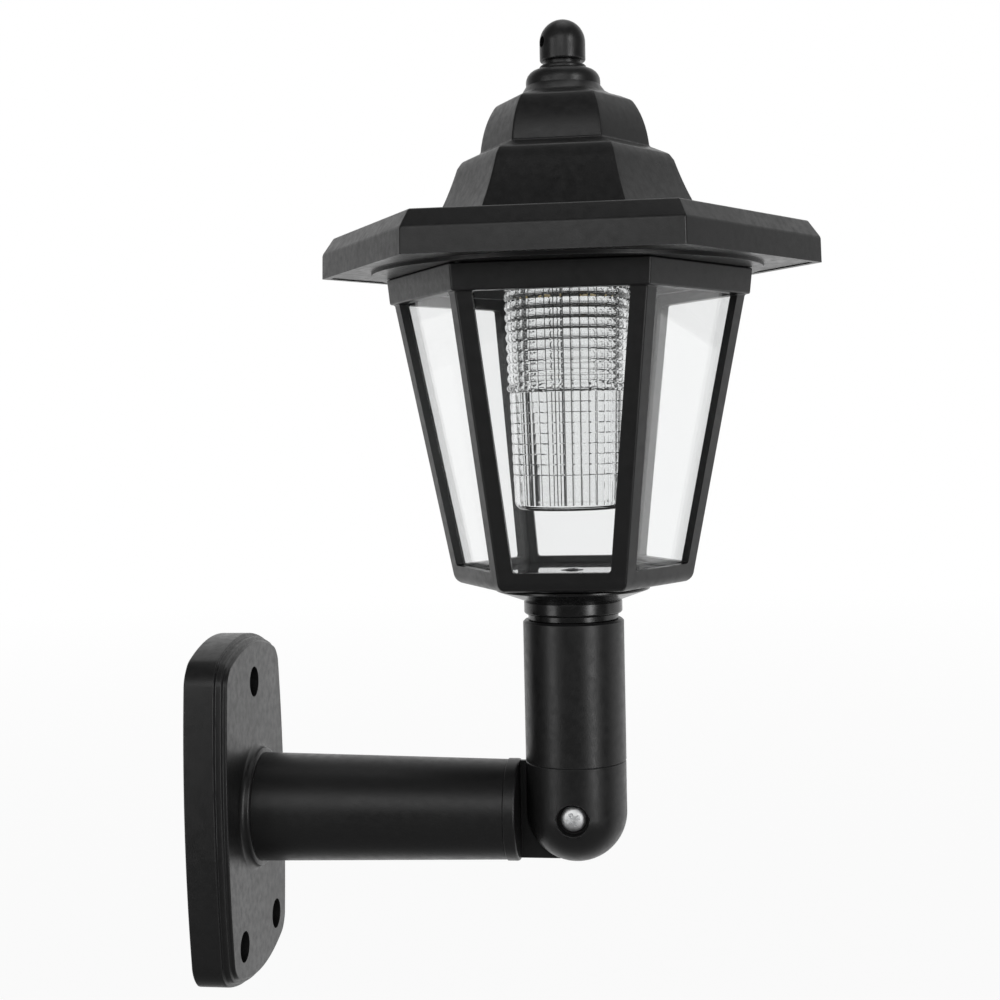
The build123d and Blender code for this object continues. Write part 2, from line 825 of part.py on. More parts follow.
def base_plate_screws():
    screw = self_tapping_screw(base_screw_head, base_screw_head_height, base_screw_radius, base_screw_length)
    seated = Pos(0, 0, disc_low + base_screw_head_height + 0.2) * Rot(180, 0, 0) * screw
    return [place * seated for place in base_screw_places()]


# The prismatic diffuser cup: round ribs outside cross upright flutes inside
def cup_radius(height):
    """Outer radius of the cup's plain wall at a height."""
    share = (height - cup_low) / (brim_low - cup_low)
    return cup_bottom_radius + share * (cup_top_radius - cup_bottom_radius)


def round_rib(low, high, bulge):
    """One rounded rib of the cup's outer outline."""
    middle = (low + high) / 2
    crest = (cup_radius(middle) + bulge, middle)
    return ThreePointArc((cup_radius(low), low), crest, (cup_radius(high), high))


def flat_rib(low, high, bulge):
    """One shallow rib with sloping shoulders."""
    shoulder = (high - low) / 4
    return Polyline(
        (cup_radius(low), low), (cup_radius(low + shoulder) + bulge, low + shoulder),
        (cup_radius(high - shoulder) + bulge, high - shoulder), (cup_radius(high), high),
    )


def ribbed_outline():
    """The outer outline from the floor's corner up to the flange: shallow ribs, bead, bold ribs."""
    bead_low = brim_low - bead_drop - bead_height / 2
    bead_high = bead_low + bead_height
    lower_start = bead_low - lower_rings * ring_pitch
    heel_high = cup_low + cup_corner
    wall = Line((cup_radius(heel_high), heel_high), (cup_radius(lower_start), lower_start))
    for count in range(lower_rings):
        low = lower_start + count * ring_pitch
        high = low + ring_pitch - ring_groove
        wall += flat_rib(low, high, lower_ring_bulge)
        wall += Line((cup_radius(high), high), (cup_radius(low + ring_pitch), low + ring_pitch))
    wall += round_rib(bead_low, bead_high, bead_bulge)
    for count in range(upper_rings):
        low = bead_high + count * ring_pitch
        foot = low + ring_groove
        wall += Line((cup_radius(low), low), (cup_radius(foot), foot))
        wall += round_rib(foot, low + ring_pitch, upper_ring_bulge)
    return wall, bead_high + upper_rings * ring_pitch


def fluted_section(radius, height):
    """A scalloped ring of shallow flutes, which runs up the inside of the cup."""
    step = 2 * pi / flute_count
    edges = []
    for count in range(flute_count):
        start, middle, end = (count * step, (count + 0.5) * step, (count + 1) * step)
        edges.append(ThreePointArc(
            (radius * cos(start), radius * sin(start)),
            ((radius - flute_depth) * cos(middle), (radius - flute_depth) * sin(middle)),
            (radius * cos(end), radius * sin(end)),
        ))
    return Pos(0, 0, height) * make_face(edges)


def diffuser_cup():
    wall, wall_top = ribbed_outline()
    corner = cup_radius(cup_low + cup_corner)
    floor = Line((0, cup_low), (corner - cup_corner, cup_low))
    heel = CenterArc((corner - cup_corner, cup_low + cup_corner), cup_corner, 270, 90)
    flange = Polyline(
        (cup_radius(wall_top), wall_top), (cup_radius(base_top), base_top + 0.05),
        (cup_flange_radius, base_top + 0.05), (cup_flange_radius, cup_top), (0, cup_top), (0, cup_low),
    )
    cup = revolve(make_face(Plane.XZ * (floor + heel + wall + flange)), Axis.Z)
    low, high = cup_low + cup_floor, cup_top
    hollow = loft([fluted_section(cup_radius(low) - cup_wall, low),
                   fluted_section(cup_radius(high) - cup_wall, high)], ruled=True)
    return cup - hollow


# The lamp unit: board, two lamps, driver parts, cell, cradle and contacts
def board_post_places():
    return [Rot(0, 0, board_post_start + 120 * turn) * Pos(board_post_circle, 0, 0) for turn in range(3)]


def led_board():
    board = rod(board_radius, board_low, board_top)
    for place in board_post_places():
        board -= place * rod(board_screw_radius + 0.2, board_low, board_top)
    for side in (-1, 1):
        for leg in (-1.27, 1.27):
            board -= Pos(side * led_offset, leg, 0) * rod(0.45, board_low, board_top)
    return board


def board_screws():
    head, height = board_screw_head, board_screw_head_height
    screw = self_tapping_screw(head, height, board_screw_radius, board_screw_length)
    return [place * Pos(0, 0, board_top) * screw for place in board_post_places()]


def leds():
    rim = rod(led_rim, board_low - 1.05, board_low - 0.05)
    body = rod(led_radius, board_low - led_body, board_low - 0.05)
    lamp = rim + body + Pos(0, 0, board_low - led_body) * Sphere(led_radius)
    for leg in (-1.27, 1.27):
        lamp += Pos(0, leg, 0) * rod(0.25, board_low - 0.5, board_top + 1.0)
    return [Pos(side * led_offset, 0, 0) * lamp for side in (-1, 1)]


def board_components():
    """The driver chip and the small coil on top of the board."""
    chip = Pos(0, 9, board_top + 0.05) * Box(chip_length, chip_width, chip_height, align=FROM_LOW)
    coil = along_x(rod(coil_radius, -coil_length / 2, coil_length / 2))
    coil = Pos(0, -10, board_top + coil_radius + 0.05) * coil
    return [chip, fillet(coil.edges(), 0.5)]


def cradle_screw_places():
    return [Pos(side * cradle_leg_offset, 0, 0) for side in (-1, 1)]


def cradle_half_length():
    """Half the room between the contacts: the cell, its tip, both plates and the spring."""
    return (battery_length + battery_tip + spring_room + 2 * contact_thickness + 0.2) / 2


def battery_cradle():
    length = 2 * cradle_half_length()
    rim = battery_height + 1.5
    tray = Box(length + 2 * cradle_wall, 2 * cradle_side, rim - cradle_low, align=FROM_LOW)
    room = Box(length, 2 * (cradle_side - cradle_wall), rim - cradle_low, align=FROM_LOW)
    tray = Pos(0, 0, cradle_low) * (tray - Pos(0, 0, cradle_wall) * room)
    foot_reach = 2 * cradle_leg_offset + cradle_leg
    tray += Pos(0, 0, cradle_low) * Box(foot_reach, cradle_leg_width, cradle_wall, align=FROM_LOW)
    leg = Pos(0, 0, base_top) * Box(cradle_leg, cradle_leg_width, cradle_floor_height - 1, align=FROM_LOW)
    for place in cradle_screw_places():
        tray += place * leg
    for place in cradle_screw_places():
        tray -= place * rod(cradle_screw_radius + thread_gap, base_top, cradle_low + cradle_wall - 0.6)
    return tray


def cradle_screws():
    length = cradle_screw_length
    screw = self_tapping_screw(cradle_screw_head, base_screw_head_height, cradle_screw_radius, length)
    seated = Pos(0, 0, disc_low + base_screw_head_height + 0.2) * Rot(180, 0, 0) * screw
    return [place * seated for place in cradle_screw_places()]


def battery_tip_place():
    return cradle_half_length() - contact_thickness - 0.15


def battery():
    tip = battery_tip_place()
    cell = rod(battery_radius, tip - battery_tip - battery_length, tip - battery_tip)
    cell = fillet(cell.edges(), 0.6)
    cell += rod(battery_tip_radius, tip - battery_tip - 0.5, tip)
    return Pos(0, 0, battery_height) * along_x(cell)


def contact_plate(face):
    plate = Box(contact_thickness, 8.5, 8.0)
    return Pos(face, 0, battery_height - 1.0) * plate


def battery_contact():
    return contact_plate(cradle_half_length() - contact_thickness / 2 - 0.05)


def battery_spring():
    """The cone-wound spring at the cell's flat end, and its plate."""
    face = -cradle_half_length() + contact_thickness + 0.05
    plate = contact_plate(face - contact_thickness / 2)
    cell_end = battery_tip_place() - battery_tip - battery_length
    height = cell_end - face - 2 * (spring_wire + 0.05)
    taper = -degrees(atan2(spring_big - spring_small, height))
    path = Helix(height / spring_turns, height, spring_big, cone_angle=taper)
    wire = sweep(Plane(path @ 0, z_dir=path % 0) * RegularPolygon(spring_wire, 6), path)
    coil = Pos(face + spring_wire + 0.05, 0, battery_height) * along_x(wire)
    return [plate, coil]


# The slide switch, worked from under the base plate when the lamp unit is out of the cage
def switch_body():
    body = Box(switch_length, switch_width, switch_height, align=FROM_LOW)
    room_length = slider_length + switch_travel + 2 * slider_gap
    room = Box(room_length, slider_width + 2 * slider_gap, slider_height + 2 * slider_gap, align=FROM_LOW)
    return Pos(0, switch_offset, base_top + 0.05) * (body - room)


def knob_low():
    """The knob stands out under the disc inside the lock ring, and ends in its slot over the ring."""
    ring_room = lock_collar_radius() - lock_collar_wall - switch_offset - slider_width / 2
    return disc_low - knob_drop if ring_room > slider_gap else disc_low + slider_gap


def switch_slider():
    off_side = -switch_travel / 2
    head_low = base_top + 0.05 + slider_gap
    head = Pos(0, 0, head_low) * Box(slider_length, slider_width, slider_height, align=FROM_LOW)
    knob_height = head_low + 1 - knob_low()
    knob = Pos(0, 0, knob_low()) * Box(knob_length, slider_width, knob_height, align=FROM_LOW)
    return Pos(off_side, switch_offset, 0) * (head + knob)


def build():
    os.makedirs("parts", exist_ok=True)
    save("wall_plate", wall_plate())
    save("arm_tube", arm_tube())
    save("arm_screws", *arm_screws())
    save("arm_knuckle", arm_knuckle())
    save("pivot_screw", pivot_screw())
    save("pivot_nut", pivot_nut())
    upright_pieces = {
        "post_knuckle": [post_knuckle()],
        "post_tube": [post_tube()],
        "neck_adapter": [neck_adapter()],
        "neck_screw": [neck_screw()],
        "lantern_frame": [lantern_frame()],
        "clear_liner": [clear_liner()],
        "lock_ring": [lock_ring()],
        "roof_shell": [roof_shell()],
        "solar_panels": solar_panels(),
        "finial": [finial()],
        "finial_nut": [finial_nut()],
        "base_plate": [base_plate()],
        "base_plate_screws": base_plate_screws(),
        "diffuser_cup": [diffuser_cup()],
        "led_board": [led_board()],
        "board_screws": board_screws(),
        "leds": leds(),
        "board_components": board_components(),
        "battery_cradle": [battery_cradle()],
        "cradle_screws": cradle_screws(),
        "battery": [battery()],
        "battery_contact": [battery_contact()],
        "battery_spring": battery_spring(),
        "switch_body": [switch_body()],
        "switch_slider": [switch_slider()],
    }
    for name, solids in upright_pieces.items():
        save(name, *[LANTERN_AXIS * solid for solid in solids])


build()
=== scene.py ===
import bpy
import bmesh
import math
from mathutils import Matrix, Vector


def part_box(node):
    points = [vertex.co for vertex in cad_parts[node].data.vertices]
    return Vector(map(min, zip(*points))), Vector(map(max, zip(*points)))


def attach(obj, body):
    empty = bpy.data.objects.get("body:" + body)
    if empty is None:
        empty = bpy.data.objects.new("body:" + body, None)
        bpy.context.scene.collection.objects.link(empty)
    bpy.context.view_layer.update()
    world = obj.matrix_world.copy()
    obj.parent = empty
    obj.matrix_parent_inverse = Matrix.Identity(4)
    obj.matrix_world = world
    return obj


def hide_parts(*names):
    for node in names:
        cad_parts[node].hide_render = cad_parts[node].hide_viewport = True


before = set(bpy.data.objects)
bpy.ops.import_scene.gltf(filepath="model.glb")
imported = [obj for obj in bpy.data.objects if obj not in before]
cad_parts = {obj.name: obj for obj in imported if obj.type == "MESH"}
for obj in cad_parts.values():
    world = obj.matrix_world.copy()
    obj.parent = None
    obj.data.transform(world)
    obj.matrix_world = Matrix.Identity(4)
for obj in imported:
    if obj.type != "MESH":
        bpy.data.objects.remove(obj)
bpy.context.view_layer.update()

# A hexagonal solar coach lantern on a jointed wall bracket, in metres, in the frame of its CAD model:
# the wall is the plane X = 0, the arm leaves it along +X and the lamp stands up along +Z.

# Camera: a 59 mm lens half a metre away, level with the lamp's windows and turned a little to the wall.
camera_lens = bpy.data.cameras.new("studio_camera")
camera_lens.lens = 59.4
camera_lens.sensor_width = 36
camera = bpy.data.objects.new("studio_camera", camera_lens)
bpy.context.scene.collection.objects.link(camera)
camera.location = (0.15966, -0.48674, 0.11586)
camera.rotation_euler = (math.radians(87.348), math.radians(1.226), math.radians(8.124))
bpy.context.scene.camera = camera
bpy.context.scene.view_settings.view_transform = "Standard"

# Studio: a white backdrop behind the lamp and a dark room in front of it. The backdrop shows white to the
# eye, and the gloss and the clear parts see it fade to the dark room at the sides, above and in front.


def take(tree, node, sockets):
    """Give a shader node's sockets their numbers and colours, or the outputs that they take."""
    for socket, value in sockets.items():
        if isinstance(value, bpy.types.NodeSocket):
            tree.links.new(value, node.inputs[socket])
        else:
            node.inputs[socket].default_value = value


def add(tree, kind, sockets, **options):
    """Add a shader node and return its outputs."""
    node = tree.nodes.new("ShaderNode" + kind)
    for option, value in options.items():
        setattr(node, option, value)
    take(tree, node, sockets)
    return node.outputs


def spread(tree, value, low, high, out_low, out_high):
    """Stretch one range of a pattern over another range."""
    return add(tree, "MapRange", {
        "Value": value, "From Min": low, "From Max": high, "To Min": out_low, "To Max": out_high})["Result"]


def reckon(tree, operation, *values):
    """One step of arithmetic on patterns."""
    return add(tree, "Math", dict(enumerate(values)), operation=operation)[0]


world = bpy.data.worlds.new("studio")
bpy.context.scene.world = world
world.use_nodes = True
room = world.node_tree
look = add(room, "LightPath", {})
behind = add(room, "SeparateXYZ", {0: add(room, "TexCoord", {})["Generated"]})["Y"]
strongest = look["Is Camera Ray"]
for ray, low, high, dark, bright in (
        ("Is Glossy Ray", 0.25, 0.90, 0.12, 1.0), ("Is Transmission Ray", 0.20, 0.65, 0.06, 1.0),
        ("Is Diffuse Ray", -1, 1, 0.40, 0.40)):
    only = reckon(room, "MULTIPLY", spread(room, behind, low, high, dark, bright), look[ray])
    strongest = reckon(room, "MAXIMUM", strongest, only)
take(room, room.nodes["Background"], {"Color": (1, 1, 1, 1), "Strength": strongest})


def soft_box(name, place, aim, width, height, power):
    """A rectangular soft light that faces a point of the lamp."""
    light = bpy.data.lights.new(name, "AREA")
    light.shape = "RECTANGLE"
    light.size = width
    light.size_y = height
    light.energy = power
    box = bpy.data.objects.new(name, light)
    bpy.context.scene.collection.objects.link(box)
    box.location = place
    box.rotation_euler = (Vector(aim) - Vector(place)).to_track_quat("-Z", "Y").to_euler()
    box.visible_transmission = False


soft_box("right_soft_box", (0.92, -0.78, 0.24), (0.10, 0, 0.06), 0.42, 0.95, 4.2)
soft_box("right_strip_light", (0.86, -0.72, 0.20), (0.10, 0, 0.06), 0.07, 0.90, 1.4)
soft_box("left_soft_box", (-0.56, -0.67, 0.12), (0.10, 0, 0.06), 0.34, 0.80, 2.0)
soft_box("front_soft_box", (0.02, -1.05, 0.52), (0.10, 0, 0.06), 0.80, 0.55, 2.4)
soft_box("top_soft_box", (0.15, 0.10, 1.25), (0.10, 0, 0.10), 0.7, 0.7, 1.6)

# Floor: a pale matt sweep below the lamp. It keeps the lamp's shadow and fades to the backdrop's white far
# away, and its front half lies on the dark side of the room.
bpy.ops.object.select_all(action="DESELECT")
bpy.ops.mesh.primitive_plane_add(size=12, location=(0.1, 0, -0.25))
floor = bpy.context.object
floor.name = "floor"
pale = bpy.data.materials.new("pale_floor")
pale.use_nodes = True
sweep = pale.node_tree
paint = sweep.nodes["Principled BSDF"]
take(sweep, paint, {"Base Color": (0.93, 0.93, 0.93, 1), "Roughness": 0.9, "Specular IOR Level": 0.1})
spot = add(sweep, "TexCoord", {})["Object"]
eye = add(sweep, "LightPath", {})
lit_half = spread(sweep, add(sweep, "SeparateXYZ", {0: spot})["Y"], 0.0, 0.2, 0.12, 1.0)
distance = add(sweep, "VectorMath", {0: spot}, operation="LENGTH")["Value"]
seen = reckon(sweep, "MAXIMUM", eye["Is Camera Ray"], lit_half)
white = add(sweep, "Emission", {"Strength": seen})[0]
share = reckon(sweep, "MULTIPLY", spread(sweep, distance, 0.4, 3.0, 0.90, 1.0),
               reckon(sweep, "SUBTRACT", 1, eye["Is Diffuse Ray"]))
mixed = add(sweep, "MixShader", {0: share, 1: paint.outputs[0], 2: white})[0]
sweep.links.new(mixed, sweep.nodes["Material Output"].inputs["Surface"])
floor.data.materials.append(pale)

# Wall plate: one moulding in black weatherproof plastic, with arched ends, bowed sides and a double step
# round its face. Its back is hollow and ribbed, a low ring round its middle takes the arm, and three wood
# screws hold it to the wall.
plate_end_width = 0.058
plate_straight = 0.093
plate_arch = 0.0065
plate_bow = 0.0035
plate_corner = 0.005
plate_wall = 0.0024
flange_depth = 0.0092
step_depth = 0.0019
face_depth = 0.0013
step_inset = 0.0012
plate_depth = flange_depth + step_depth + face_depth
rib_depth = plate_depth - plate_wall
rib_half = 0.0011
root_radius = 0.01795
root_end = 0.0150
socket_radius = 0.01645
socket_floor = 0.0026
arm_seat = 0.0050
hole_floor = 0.0034
wall_boss_radius = 0.0064
wall_head_radius = 0.0046
wall_hole_radius = 0.0023
arm_hole_radius = 0.00165
arm_head_radius = 0.0031
wall_holes = [(0, 0.0385), (-0.017, -0.0385), (0.017, -0.0385)]
arm_screw_reach = 0.00693
arm_screw_places = [(arm_screw_reach, arm_screw_reach), (-arm_screw_reach, -arm_screw_reach)]


def begin():
    """Leave edit mode and select nothing, ready for a new primitive."""
    if bpy.context.object and bpy.context.mode != "OBJECT":
        bpy.ops.object.mode_set(mode="OBJECT")
    bpy.ops.object.select_all(action="DESELECT")


def hold(piece):
    """Select one piece alone, ready to be worked on."""
    begin()
    bpy.context.view_layer.objects.active = piece
    piece.select_set(True)


def edit(piece):
    """Open a piece in edit mode with all of it selected."""
    hold(piece)
    bpy.ops.object.mode_set(mode="EDIT")
    bpy.ops.mesh.select_mode(type="VERT")
    bpy.ops.mesh.select_all(action="SELECT")


def pick(kind, test):
    """In edit mode, select the vertices, edges or faces that pass a test."""
    bpy.ops.mesh.select_mode(type=kind)
    bpy.ops.mesh.select_all(action="DESELECT")
    mesh = bmesh.from_edit_mesh(bpy.context.object.data)
    for part in {"VERT": mesh.verts, "EDGE": mesh.edges, "FACE": mesh.faces}[kind]:
        part.select_set(test(part))
    mesh.select_flush_mode()
    bmesh.update_edit_mesh(bpy.context.object.data)


def middle(part):
    """The middle of an edge or face."""
    corners = [vertex.co for vertex in part.verts]
    return sum(corners, Vector()) / len(corners)


def pull(*step):
    """Extrude what is selected by a step."""
    bpy.ops.mesh.extrude_region_move(TRANSFORM_OT_translate={"value": step})


def apply_place():
    """Put the object's place, turn and size into its mesh."""
    bpy.ops.object.transform_apply(location=True, rotation=True, scale=True)


def tidy_mesh(piece):
    """Merge doubles and turn all faces outwards."""
    edit(piece)
    bpy.ops.mesh.remove_doubles(threshold=0.000005)
    bpy.ops.mesh.normals_make_consistent(inside=False)
    bpy.ops.object.mode_set(mode="OBJECT")


def soften(piece, width, segments=2, angle=30):
    """Round the sharp edges a little, as a mould does."""
    hold(piece)
    edge = piece.modifiers.new("edge", "BEVEL")
    edge.width = width
    edge.segments = segments
    edge.limit_method = "ANGLE"
    edge.angle_limit = math.radians(angle)
    bpy.ops.object.modifier_apply(modifier="edge")


def boolean(piece, tool, operation="DIFFERENCE"):
    """Cut a shape from a piece, or add it, and remove the shape."""
    hold(piece)
    change = piece.modifiers.new("change", "BOOLEAN")
    change.operation = operation
    change.solver = "EXACT"
    change.object = tool
    bpy.ops.object.modifier_apply(modifier="change")
    bpy.data.objects.remove(tool)


def rod(start, end, radius, sides=64):
    """A straight bar between two points, to add or to cut with."""
    begin()
    start, end = Vector(start), Vector(end)
    bpy.ops.mesh.primitive_cylinder_add(
        vertices=sides, radius=radius, depth=(end - start).length, location=(start + end) / 2,
        rotation=(end - start).to_track_quat("Z", "Y").to_euler())
    apply_place()
    return bpy.context.object


def drill(piece, start, end, radius, sides=64):
    """Bore a round hole in a piece."""
    boolean(piece, rod(start, end, radius, sides))


def block(low, high):
    """A block between two corners, to add or to cut with."""
    begin()
    bpy.ops.mesh.primitive_cube_add(size=1, location=[(a + b) / 2 for a, b in zip(low, high)])
    bpy.context.object.scale = [b - a for a, b in zip(low, high)]
    apply_place()
    return bpy.context.object


def turned(rings, axis="Z", centre=(0.111, 0, 0), sides=96):
    """A turned piece grown from a circle: each ring is a radius and a place along the axis."""
    begin()
    along = "XYZ".index(axis)
    turn = {"X": (0, math.pi / 2, 0), "Y": (math.pi / 2, math.pi / 2, 0), "Z": (0, 0, math.pi / 2)}[axis]
    spot = list(centre)
    radius, spot[along] = rings[0]
    ends = "NOTHING" if rings[0] == rings[-1] else "NGON"
    bpy.ops.mesh.primitive_circle_add(
        vertices=sides, radius=radius, fill_type=ends, location=spot, rotation=turn)
    apply_place()
    edit(bpy.context.object)
    for next_radius, place in rings[1:]:
        step = [0, 0, 0]
        step[along] = place - spot[along]
        pull(*step)
        spot[along] = place
        growth = [next_radius / radius] * 3
        growth[along] = 1
        bpy.ops.transform.resize(value=growth, center_override=spot)
        radius = next_radius
    piece = bpy.context.object
    tidy_mesh(piece)
    return piece


def arc(radius, place, bend, start, end, steps=6):
    """Rings of a rounded stretch: its centre, its bend, and the angles in degrees that it turns through."""
    angles = [math.radians(start + (end - start) * step / steps) for step in range(steps + 1)]
    return [(radius + bend * math.cos(a), place + bend * math.sin(a)) for a in angles]


def finish(piece, name, material, body, slot, *nodes, crease=30):
    """Shade and name a finished piece, give it its finish, and let it stand for its CAD nodes."""
    hold(piece)
    bpy.ops.object.shade_smooth_by_angle(angle=math.radians(crease))
    flats = piece.modifiers.new("flats", "WEIGHTED_NORMAL")
    flats.keep_sharp = True
    bpy.ops.object.modifier_apply(modifier="flats")
    piece.name = name
    piece.data.name = name
    piece.data.materials.clear()
    piece.data.materials.append(material)
    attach(piece, body)
    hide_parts(*nodes)


def noise(tree, place, scale, detail=4, roughness=0.5):
    """A cloudy pattern fixed to the piece."""
    return add(tree, "TexNoise", {
        "Vector": place, "Scale": scale, "Detail": detail, "Roughness": roughness})["Fac"]


def blank(name):
    """A new material: itself, its node tree, its shader and the piece's own coordinates."""
    material = bpy.data.materials.new(name)
    material.use_nodes = True
    tree = material.node_tree
    return material, tree, tree.nodes["Principled BSDF"], add(tree, "TexCoord", {})["Object"]


def blend(tree, share, first, second):
    """One colour turned into another by a pattern."""
    return add(tree, "Mix", {"Factor": share, "A": first, "B": second}, data_type="RGBA")["Result"]


def raised(tree, height, strength, distance=0.0001):
    """The slope of a fine relief."""
    return add(tree, "Bump", {"Height": height, "Strength": strength, "Distance": distance})["Normal"]


def edge_highlight_and_wear(tree, radius, amount):
    """Full on sharp outer edges and nothing on the flats: a painted edge highlight, with some rubbing where
    hands and packing take the gloss away.
    """
    rounded = add(tree, "Bevel", {"Radius": radius}, samples=4)["Normal"]
    flat = add(tree, "NewGeometry", {})["Normal"]
    facing = add(tree, "VectorMath", {0: rounded, 1: flat}, operation="DOT_PRODUCT")["Value"]
    return spread(tree, facing, 0.985, 0.90, 0, amount)


def moulded_plastic(name, shade, roughness, grain, shine):
    """Black moulded plastic: a fine spark grain, a cloudy gloss, faint scuffs, and sharp edges painted
    lighter as a highlight and as rubbed wear.
    """
    plastic, tree, skin, place = blank(name)
    cloudy = spread(tree, noise(tree, place, 38, 5), 0.3, 0.7, roughness - 0.06, roughness + 0.03)
    gloss = spread(tree, noise(tree, place, 420, 4, 0.6), 0.35, 0.7, cloudy, roughness + 0.10)
    slanted = add(tree, "Mapping", {
        "Vector": place, "Rotation": (0.5, 0.9, 0.3), "Scale": (1, 7, 1)})["Vector"]
    scuffs = spread(tree, noise(tree, slanted, 260, 6, 0.7), 0.66, 0.80, 0, 0.35)
    highlit_edges_and_scuffs = reckon(tree, "MAXIMUM", edge_highlight_and_wear(tree, 0.0005, 0.5), scuffs)
    # The colour turns lighter on the scuffs and on sharp edges; on the edges this is a painted highlight as
    # well as rubbed wear.
    tone = blend(tree, highlit_edges_and_scuffs, (shade, shade, shade * 1.02, 1), (shade * 4.5, shade * 4.5, shade * 4.6, 1))
    relief = raised(tree, noise(tree, place, 2600, 3), grain)
    take(tree, skin, {"Base Color": tone, "Roughness": gloss, "Normal": relief, "Specular IOR Level": shine})
    return plastic


satin_black = moulded_plastic("satin_black", 0.006, 0.33, 0.22, 0.42)

begin()
bpy.ops.mesh.primitive_plane_add(size=1, location=(0, 0, 0), rotation=(0, math.pi / 2, 0))
wall_plate = bpy.context.object
wall_plate.scale = (plate_straight, plate_end_width, 1)
apply_place()
bpy.ops.object.mode_set(mode="EDIT")
bpy.ops.mesh.select_all(action="SELECT")
bpy.ops.mesh.bevel(affect="VERTICES", offset=plate_corner, offset_type="OFFSET", segments=8)
bpy.ops.mesh.select_mode(type="FACE")
bpy.ops.mesh.delete(type="ONLY_FACE")
pick("EDGE", lambda e: e.calc_length() > 0.02)
bpy.ops.mesh.subdivide(number_cuts=31)
for side in (1, -1):
    for along, across, end, rise in ((2, 1, plate_straight, plate_arch), (1, 2, plate_end_width, plate_bow)):
        half, reach = side * end / 2, (plate_end_width if along == 2 else plate_straight) / 2
        pick("VERT", lambda v: abs(v.co[across]) < 1e-6 and abs(v.co[along] - half) < 0.001)
        shift = [0, 0, 0]
        shift[along] = side * rise
        bpy.ops.transform.translate(
            value=shift, use_proportional_edit=True, proportional_edit_falloff="INVERSE_SQUARE",
            proportional_size=reach)
bpy.ops.mesh.select_all(action="SELECT")
bpy.ops.mesh.edge_face_add()
pull(flange_depth, 0, 0)
for depth in (step_depth, face_depth):
    bpy.ops.mesh.inset(thickness=step_inset, depth=0)
    pull(depth, 0, 0)
pick("FACE", lambda f: middle(f).x < 1e-6)
bpy.ops.mesh.inset(thickness=plate_wall, depth=0)
pull(flange_depth - plate_wall, 0, 0)
bpy.ops.mesh.inset(thickness=plate_wall, depth=0)
pull(step_depth + face_depth, 0, 0)
tidy_mesh(wall_plate)
soften(wall_plate, 0.0005, segments=3)

root_foot = root_radius + 0.0018
root_round = 0.0009
stiffeners = [
    turned(
        [(0.01885, socket_floor), (0.01885, rib_depth + 0.001), (root_foot, rib_depth + 0.001)]
        + arc(root_foot, plate_depth + 0.0018, 0.0018, -90, -180)
        + arc(root_radius - root_round, root_end - root_round, root_round, 0, 90), axis="X",
        centre=(0, 0, 0)),
    block((0, -rib_half, -0.0506), (rib_depth, rib_half, 0.0506)),
    block((0, -0.0301, -rib_half), (rib_depth, 0.0301, rib_half)),
    block((0, -0.017, -0.0385 - rib_half), (rib_depth, 0.017, -0.0385 + rib_half)),
    rod((0, 0, 0), (socket_floor + 0.0002, 0, 0), 0.004),
]
for y, z in wall_holes:
    stiffeners.append(rod((0, y, z), (rib_depth + 0.0005, y, z), wall_boss_radius))
for stiffener in stiffeners:
    boolean(wall_plate, stiffener, "UNION")
hollows = [rod((arm_seat, 0, 0), (root_end + 0.001, 0, 0), socket_radius, sides=96)]
for y, z in wall_holes:
    hollows.append(rod((hole_floor, y, z), (plate_depth + 0.001, y, z), wall_head_radius))
    hollows.append(rod((-0.001, y, z), (hole_floor + 0.001, y, z), wall_hole_radius, sides=32))
for y, z in arm_screw_places:
    hollows.append(rod((-0.001, y, z), (arm_seat + 0.001, y, z), arm_hole_radius, sides=24))
    hollows.append(rod((-0.001, y, z), (socket_floor, y, z), arm_head_radius, sides=32))
for hollow in hollows:
    boolean(wall_plate, hollow)
finish(wall_plate, "wall_plate_moulding", satin_black, "bracket", "black_plastic", "wall_plate")

# Arm: a hollow tapered tube in the same plastic, closed at the wall end. It stands in the plate's ring,
# and two self-tapping screws from the plate's back run into bosses inside it.
arm_start = 0.0051
arm_end = 0.0904
arm_root_radius = 0.0164
arm_end_radius = 0.0149
arm_bore_radius = 0.0126
arm_tube = turned(
    [(arm_root_radius, arm_start), (arm_root_radius, root_end)]
    + arc(arm_end_radius - 0.0003, arm_end - 0.0003, 0.0003, 5, 90, 3)
    + [(arm_bore_radius, arm_end), (arm_bore_radius, arm_start + 0.0025)], axis="X", centre=(0, 0, 0))
for y, z in arm_screw_places:
    boolean(arm_tube, rod((arm_start + 0.001, y, z), (0.0186, y, z), 0.0034, sides=48), "UNION")
for y, z in arm_screw_places:
    drill(arm_tube, (0, y, z), (0.0181, y, z), 0.0015, sides=24)
finish(arm_tube, "arm_tube_moulding", satin_black, "bracket", "black_plastic", "arm_tube")

# Elbow, arm side: a round collar at the arm's end with a spigot glued inside it, and half of a round-ended
# bar that laps on the post's half. A hexagonal pocket on its outer side holds the nut.
elbow = 0.111
collar_radius = 0.0152
collar_end = 0.0941
collar_round = 0.0008
ear_radius = 0.0148
lap_gap = 0.0001
arm_knuckle = turned(
    [(0.01195, 0.0734), (0.01255, 0.0742), (0.01255, arm_end), (collar_radius - 0.0002, arm_end),
     (collar_radius, arm_end + 0.0002)]
    + arc(collar_radius - collar_round, collar_end - collar_round, collar_round, 0, 90)
    + [(0.0100, collar_end)], axis="X", centre=(0, 0, 0))
drill(arm_knuckle, (0.07, 0, 0), (arm_end, 0, 0), 0.01005, sides=96)


def ear(rings, axis, side):
    """Half of a round-ended bar, cut flat at the lap."""
    bar = turned(rings, axis=axis, centre=(elbow, 0, 0))
    far = 0.04
    low, high = (-far, lap_gap) if side > 0 else (-lap_gap, far)
    boolean(bar, block((elbow - far, low, -far), (elbow + far, high, far)))
    return bar


